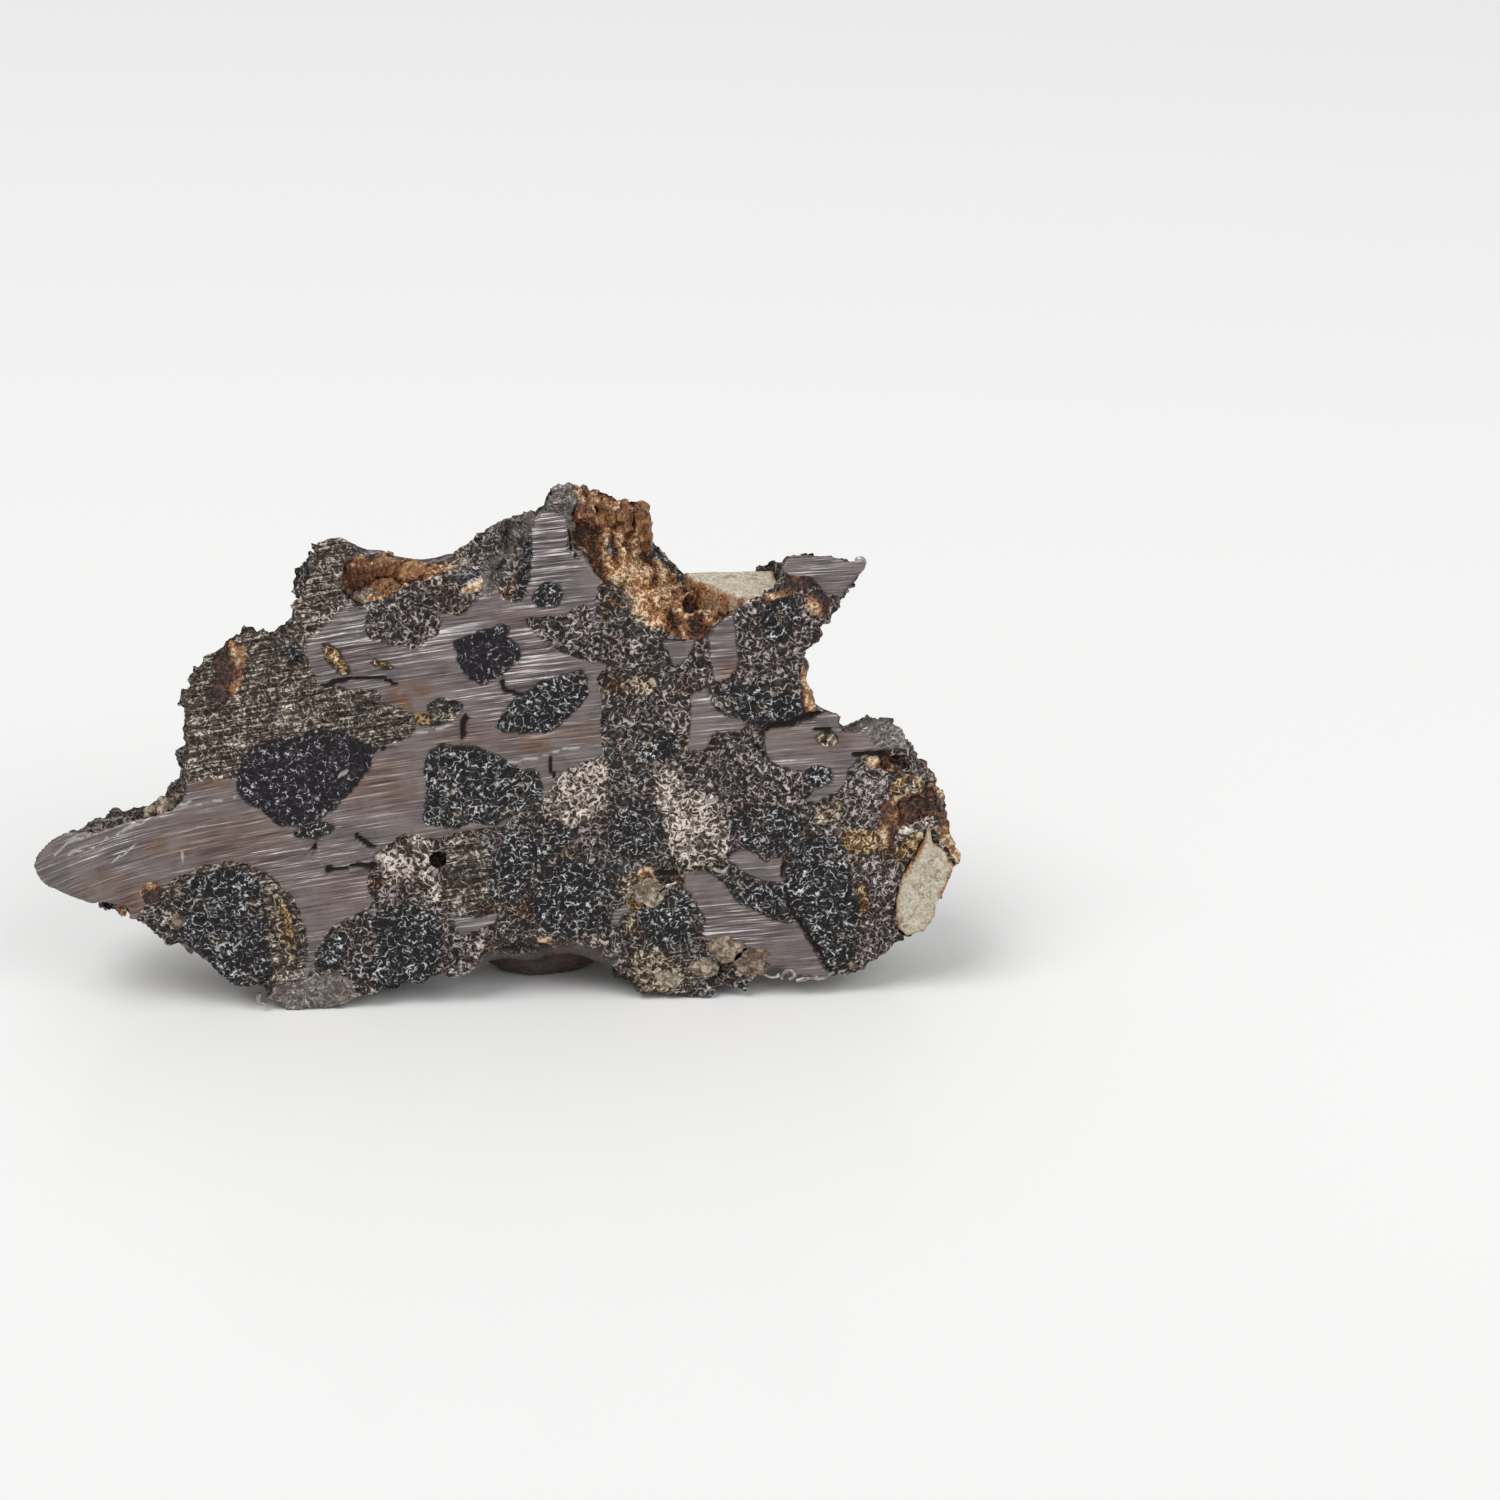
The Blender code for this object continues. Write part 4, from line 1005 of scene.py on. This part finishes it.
def stone_patterns(graph):
    """What every kind of the stone is made from: specks, patches, saw marks and the grains' shade, with
    painted shade in the relief's hollows and painted light in the chips.
    """
    made = SimpleNamespace()
    made.speck = graph.noise(0.105, detail=2.0, roughness=0.75)
    made.patch = graph.noise(0.7, detail=3.0)
    made.wander = graph.swing(graph.noise(0.3, detail=3.0, roughness=0.7), 0.26)
    made.crumb = graph.cells(0.11)
    made.tints = graph.parts(made.crumb["Color"])
    made.lines = saw_marks(graph, made.patch)
    made.fine = graph.step(made.speck, 0.38, 0.62)
    made.hollow = graph.field("hollow")
    worm = graph.noise(0.18, detail=1.0, distortion=0.6)
    worm = graph.math("ABSOLUTE", graph.math("SUBTRACT", worm, 0.5))
    worm = graph.step(worm, 0.012, 0.085, 1.0, 0.0)
    shade = graph.mix(0.5, graph.mix(0.3, made.fine, made.tints[0]), worm)
    shade = graph.math("ADD", shade, graph.swing(made.patch, 0.4))
    # Painted shade: the shade value drops in the relief's hollows.
    shade = graph.math("SUBTRACT", shade, graph.math("MULTIPLY", made.hollow, 0.12))
    # Painted light: the chips' shade value is lifted against their own shade.
    made.shade = graph.math("MULTIPLY_ADD", graph.field("chip"), 0.08, shade)
    return made


def matrix_finish(graph, shade, grey_patches, rusty_patches):
    """Fine brown rubble with grey and rusty patches."""
    brown = granular(graph, shade, (0.16, 0.118, 0.1), (0.7, 0.62, 0.56), 0.5)
    grey = granular(graph, shade, (0.125, 0.115, 0.115), (0.62, 0.6, 0.6), 0.45)
    rusty = granular(graph, shade, (0.17, 0.075, 0.033), (0.66, 0.46, 0.3), 0.45)
    mixed = layer(graph, graph.step(grey_patches, 0.5, 0.62), brown, grey)
    return layer(graph, graph.step(rusty_patches, 0.42, 0.32), mixed, rusty)


def rust_finish(graph, pattern):
    """Glassy rust, dark in its folds, its lightest tones painted highlights."""
    shade = graph.mix(0.55, pattern.fine, graph.step(graph.field("fold"), -0.4, 0.85))
    # Painted light: the rust in the chips is lifted against their own shade.
    shade = graph.math("MULTIPLY_ADD", graph.field("chip"), 0.12, shade)
    shade = graph.math("ADD", shade, graph.swing(pattern.patch, 0.3))
    return graph.ramp(
        shade, (0.2, (0.012, 0.005, 0.003)), (0.4, (0.1, 0.03, 0.013)), (0.58, (0.28, 0.105, 0.035)),
        (0.78, (0.4, 0.21, 0.09)), (0.97, (0.85, 0.68, 0.46)),
    ), 0.28, 0.0


def stone_kinds(graph, pattern):
    """The finish of each kind, in the order in which they lie over each other."""
    shade, patch, wander, lines = pattern.shade, pattern.patch, pattern.wander, pattern.lines
    grey_patches = graph.math("ADD", patch, wander)
    rusty_patches = graph.math("SUBTRACT", patch, wander)
    streaked = graph.mix(0.34, shade, graph.step(lines, 0.42, 0.58))
    # The near-white top stops of these ramps are painted glints on the grains' facets.
    dark = graph.ramp(
        shade, (0.16, (0.005, 0.005, 0.006)), (0.4, (0.03, 0.029, 0.033)), (0.56, (0.09, 0.09, 0.098)),
        (0.7, (0.32, 0.325, 0.34)), (0.88, (0.85, 0.87, 0.9)),
    ), 0.35, 0.0
    dark_brown = granular(graph, shade, (0.085, 0.068, 0.058), (0.6, 0.54, 0.46), 0.4)
    deep = graph.ramp(
        shade, (0.26, (0.008, 0.006, 0.01)), (0.56, (0.036, 0.029, 0.038)), (0.74, (0.085, 0.075, 0.09)),
        (0.9, (0.6, 0.59, 0.61)),
    ), 0.35, 0.0
    amber = graph.ramp(
        shade, (0.1, (0.03, 0.013, 0.006)), (0.32, (0.15, 0.075, 0.026)), (0.54, (0.34, 0.2, 0.07)),
        (0.74, (0.56, 0.41, 0.2)), (0.92, (0.9, 0.84, 0.66)),
    ), 0.3, 0.0
    torn = graph.ramp(
        shade, (0.1, (0.12, 0.1, 0.088)), (0.4, (0.23, 0.198, 0.18)), (0.7, (0.33, 0.296, 0.274)),
        (0.95, (0.7, 0.66, 0.62)),
    ), 0.45, 0.4
    return {
        "matrix": matrix_finish(graph, shade, grey_patches, rusty_patches),
        "metal": metal_finish(graph, lines, patch),
        "grain": granular(graph, streaked, (0.165, 0.127, 0.102), (1.0, 0.9, 0.78), 0.55),
        "brown": granular(graph, shade, (0.17, 0.13, 0.122), (0.75, 0.68, 0.66), 0.45, 0.1),
        "beige": granular(graph, shade, (0.33, 0.25, 0.17), (0.85, 0.76, 0.6), 0.45),
        "bright": granular(graph, shade, (0.58, 0.47, 0.4), (1.0, 0.96, 0.92), 0.3, 0.3),
        "dark": layer(graph, graph.step(grey_patches, 0.52, 0.64), dark, dark_brown),
        "deep": deep,
        "rust": rust_finish(graph, pattern),
        "amber": amber,
        "torn": torn,
    }


def broken_rim(graph, pattern, kinds):
    """The rim's dark crust, with blocks of crystal in it, rust and bare metal."""
    rim = granular(graph, pattern.shade, (0.075, 0.058, 0.048), (0.36, 0.31, 0.27), 0.55)
    blocks = graph.parts(graph.cells(0.8)["Color"])[0]
    for kind, low, high in (("dark", 0.45, 0.5), ("brown", 0.7, 0.74), ("grain", 0.86, 0.9)):
        rim = layer(graph, graph.step(blocks, low, high), rim, kinds[kind])
    spread = graph.swing(pattern.patch, 1.6, middle=0.56)
    for field, kind, low, high in (("rim_rust", "rust", 0.1, 0.4), ("rim_metal", "torn", 0.4, 0.6)):
        mask = graph.step(graph.math("ADD", graph.field(field), spread), low, high)
        rim = layer(graph, mask, rim, kinds[kind])
    return rim


def stone_material():
    """Every kind of the stone's surface, laid over each other by the mesh's fields."""
    graph = Graph("pallasite_stone")
    pattern = stone_patterns(graph)
    kinds = stone_kinds(graph, pattern)
    finish = kinds["metal"]
    for kind, above in kinds.items():
        gap = graph.math("ADD", graph.field(kind), pattern.wander)
        finish = layer(graph, graph.step(gap, -0.012, 0.022), finish, above)
        if kind in SEAMED_KINDS:
            seam = graph.step(graph.math("ABSOLUTE", gap), 0.01, 0.05, 0.75, 0.0)
            seam = graph.math("MULTIPLY", seam, graph.step(pattern.patch, 0.36, 0.56))
            finish = layer(graph, seam, finish, SEAM)
    rim = broken_rim(graph, pattern, kinds)
    finish = layer(graph, graph.step(graph.field("rim"), 0.3, 0.7), finish, rim)
    bulge = graph.ramp(pattern.patch, (0.35, (0.02, 0.012, 0.01)), (0.6, (0.07, 0.035, 0.028))), 0.28, 0.0
    finish = layer(graph, graph.field("bulge"), finish, bulge)
    finish = layer(graph, graph.step(graph.field("crack"), 0.2, 0.75), finish, CRACK)
    finish = layer(graph, graph.step(graph.field("scratch"), 0.3, 0.9), finish, SCRATCH)
    colour, rough, shine = finish
    # Painted shade: the relief's hollows darkened towards near-black.
    colour = graph.blend(graph.math("MULTIPLY", pattern.hollow, 0.35), colour, (0.02, 0.014, 0.012))
    graph.look("Base Color", colour)
    graph.look("Roughness", graph.math("ADD", rough, graph.mix(pattern.tints[1], -0.12, 0.16)))
    graph.look("Metallic", shine)
    crumbs = graph.math("SUBTRACT", 1.0, pattern.crumb["Distance"])
    grains = graph.mix(0.45, pattern.speck, crumbs)
    height = graph.mix(graph.field("stony"), graph.math("MULTIPLY", pattern.lines, 0.5), grains)
    graph.look("Normal", graph.bump(height, 0.09))
    gloss = graph.math("MAXIMUM", graph.step(graph.field("rust"), 0.0, 0.1), graph.field("bulge"))
    graph.look("Specular IOR Level", graph.mix(gloss, 0.2, 0.5))
    return graph.material


def pale_material():
    """Clear pale olivine with a sawn, faintly frosted face, fine inclusions and a rusty edge."""
    graph = Graph("pale_olivine_crystal")
    speck = graph.noise(0.16, detail=3.0, roughness=0.75, distortion=1.5)
    cloud = graph.noise(0.5, detail=3.0)
    colour = graph.ramp(
        speck, (0.34, (0.3, 0.21, 0.1)), (0.43, (0.64, 0.54, 0.36)), (0.55, (0.86, 0.78, 0.59)),
        (0.63, (1.0, 0.97, 0.88)),
    )
    rusty = graph.ramp(
        speck, (0.35, (0.03, 0.012, 0.007)), (0.48, (0.24, 0.085, 0.028)), (0.65, (0.6, 0.36, 0.17)),
    )
    crust = graph.field("crust")
    graph.look("Base Color", graph.blend(crust, colour, rusty))
    graph.look("Roughness", graph.mix(speck, 0.25, 0.5))
    graph.look("Transmission Weight", graph.mix(crust, 0.35, 0.0))
    graph.look("IOR", 1.66)
    graph.look("Normal", graph.bump(graph.mix(0.5, speck, cloud), 0.06))
    tint = graph.node("ShaderNodeVolumeAbsorption")
    tint.inputs["Color"].default_value = (0.95, 0.86, 0.6, 1)
    tint.inputs["Density"].default_value = 800
    out = graph.tree.nodes["Material Output"]
    graph.tree.links.new(tint.outputs[0], out.inputs["Volume"])
    return graph.material


# The glassy lumps' colours, from their dark flecks to their light ones
TAN = ((0.32, (0.03, 0.022, 0.016)), (0.48, (0.26, 0.2, 0.13)), (0.66, (0.8, 0.74, 0.6)))
BROWN = ((0.32, (0.012, 0.008, 0.006)), (0.5, (0.15, 0.085, 0.05)), (0.68, (0.55, 0.42, 0.33)))
AMBER = (
    (0.34, (0.05, 0.018, 0.006)), (0.47, (0.28, 0.12, 0.035)), (0.58, (0.48, 0.26, 0.1)),
    (0.7, (0.8, 0.6, 0.35)),
)
RED_BROWN = (
    (0.34, (0.01, 0.004, 0.003)), (0.5, (0.13, 0.038, 0.014)), (0.6, (0.3, 0.12, 0.05)),
    (0.7, (0.6, 0.38, 0.22)),
)


def glassy_material(name, first, second):
    """A glossy, flecked material between two colours."""
    graph = Graph(name)
    speck = graph.noise(0.16, detail=4.0, roughness=0.7, distortion=0.8)
    colour = graph.blend(graph.field("second"), graph.ramp(speck, *first), graph.ramp(speck, *second))
    graph.look("Base Color", colour)
    graph.look("Roughness", 0.24)
    graph.look("Normal", graph.bump(speck, 0.09))
    return graph.material


# Studio

def build_floor():
    """The glossy floor, its colour darker towards the camera: painted shade."""
    bm = bmesh.new()
    bmesh.ops.create_grid(bm, x_segments=1, y_segments=1, size=FLOOR_HALF)
    mesh = to_mesh(bm, "floor")
    floor = add_object("floor", mesh)
    graph = Graph("pale_floor")
    # Painted shade: the floor's colour darkens towards the camera.
    painted_floor_shade = graph.step(graph.axes()[1], *FLOOR_SHADE)
    graph.look("Base Color", graph.blend(painted_floor_shade, (0.86, 0.86, 0.855), (0.81, 0.802, 0.8)))
    graph.look("Roughness", 0.12)
    graph.look("Specular IOR Level", 0.1)
    mesh.materials.append(graph.material)


def build_camera():
    data = bpy.data.cameras.new("camera")
    data.sensor_width = SENSOR
    data.lens = LENS
    data.clip_start = 0.001
    data.clip_end = 10
    camera = add_object("camera", data)
    camera.location = Vector(CAMERA_PLACE) * MM
    heading = Matrix.Rotation(math.radians(CAMERA_HEADING), 4, "Z")
    dip = Matrix.Rotation(math.radians(90 - CAMERA_DIP), 4, "X")
    roll = Matrix.Rotation(math.radians(CAMERA_ROLL), 4, "Z")
    camera.rotation_euler = (heading @ dip @ roll).to_euler()
    bpy.context.scene.camera = camera


def add_softbox(name, place, size, power):
    """An area light that faces the slice."""
    data = bpy.data.lights.new(name, "AREA")
    data.shape = "RECTANGLE"
    data.size, data.size_y = (side * MM for side in size)
    data.energy = power
    light = add_object(name, data)
    light.location = Vector(place) * MM
    aim = (Vector(LIT_PLACE) - Vector(place)).to_track_quat("-Z", "Y")
    light.rotation_euler = aim.to_euler()


def build_lights():
    world = bpy.data.worlds.new("studio")
    world.use_nodes = True
    background = world.node_tree.nodes["Background"]
    background.inputs["Color"].default_value = (1.0, 1.0, 1.0, 1)
    background.inputs["Strength"].default_value = WORLD_STRENGTH
    bpy.context.scene.world = world
    for name, (place, size, power) in SOFTBOXES.items():
        add_softbox(name, place, size, power)


def main():
    bpy.context.scene.view_settings.view_transform = "Standard"
    build_camera()
    build_floor()
    build_lights()
    build_slice()
    build_pale_crystals()
    glassy_olivine = glassy_material("glassy_olivine", TAN, BROWN)
    glossy_rust = glassy_material("glossy_rust", AMBER, RED_BROWN)
    build_lumps("olivine_lumps", OLIVINE_LUMPS, glassy_olivine)
    build_lumps("rust_lumps", RUST_LUMPS, glossy_rust)
    build_burrs()


main()
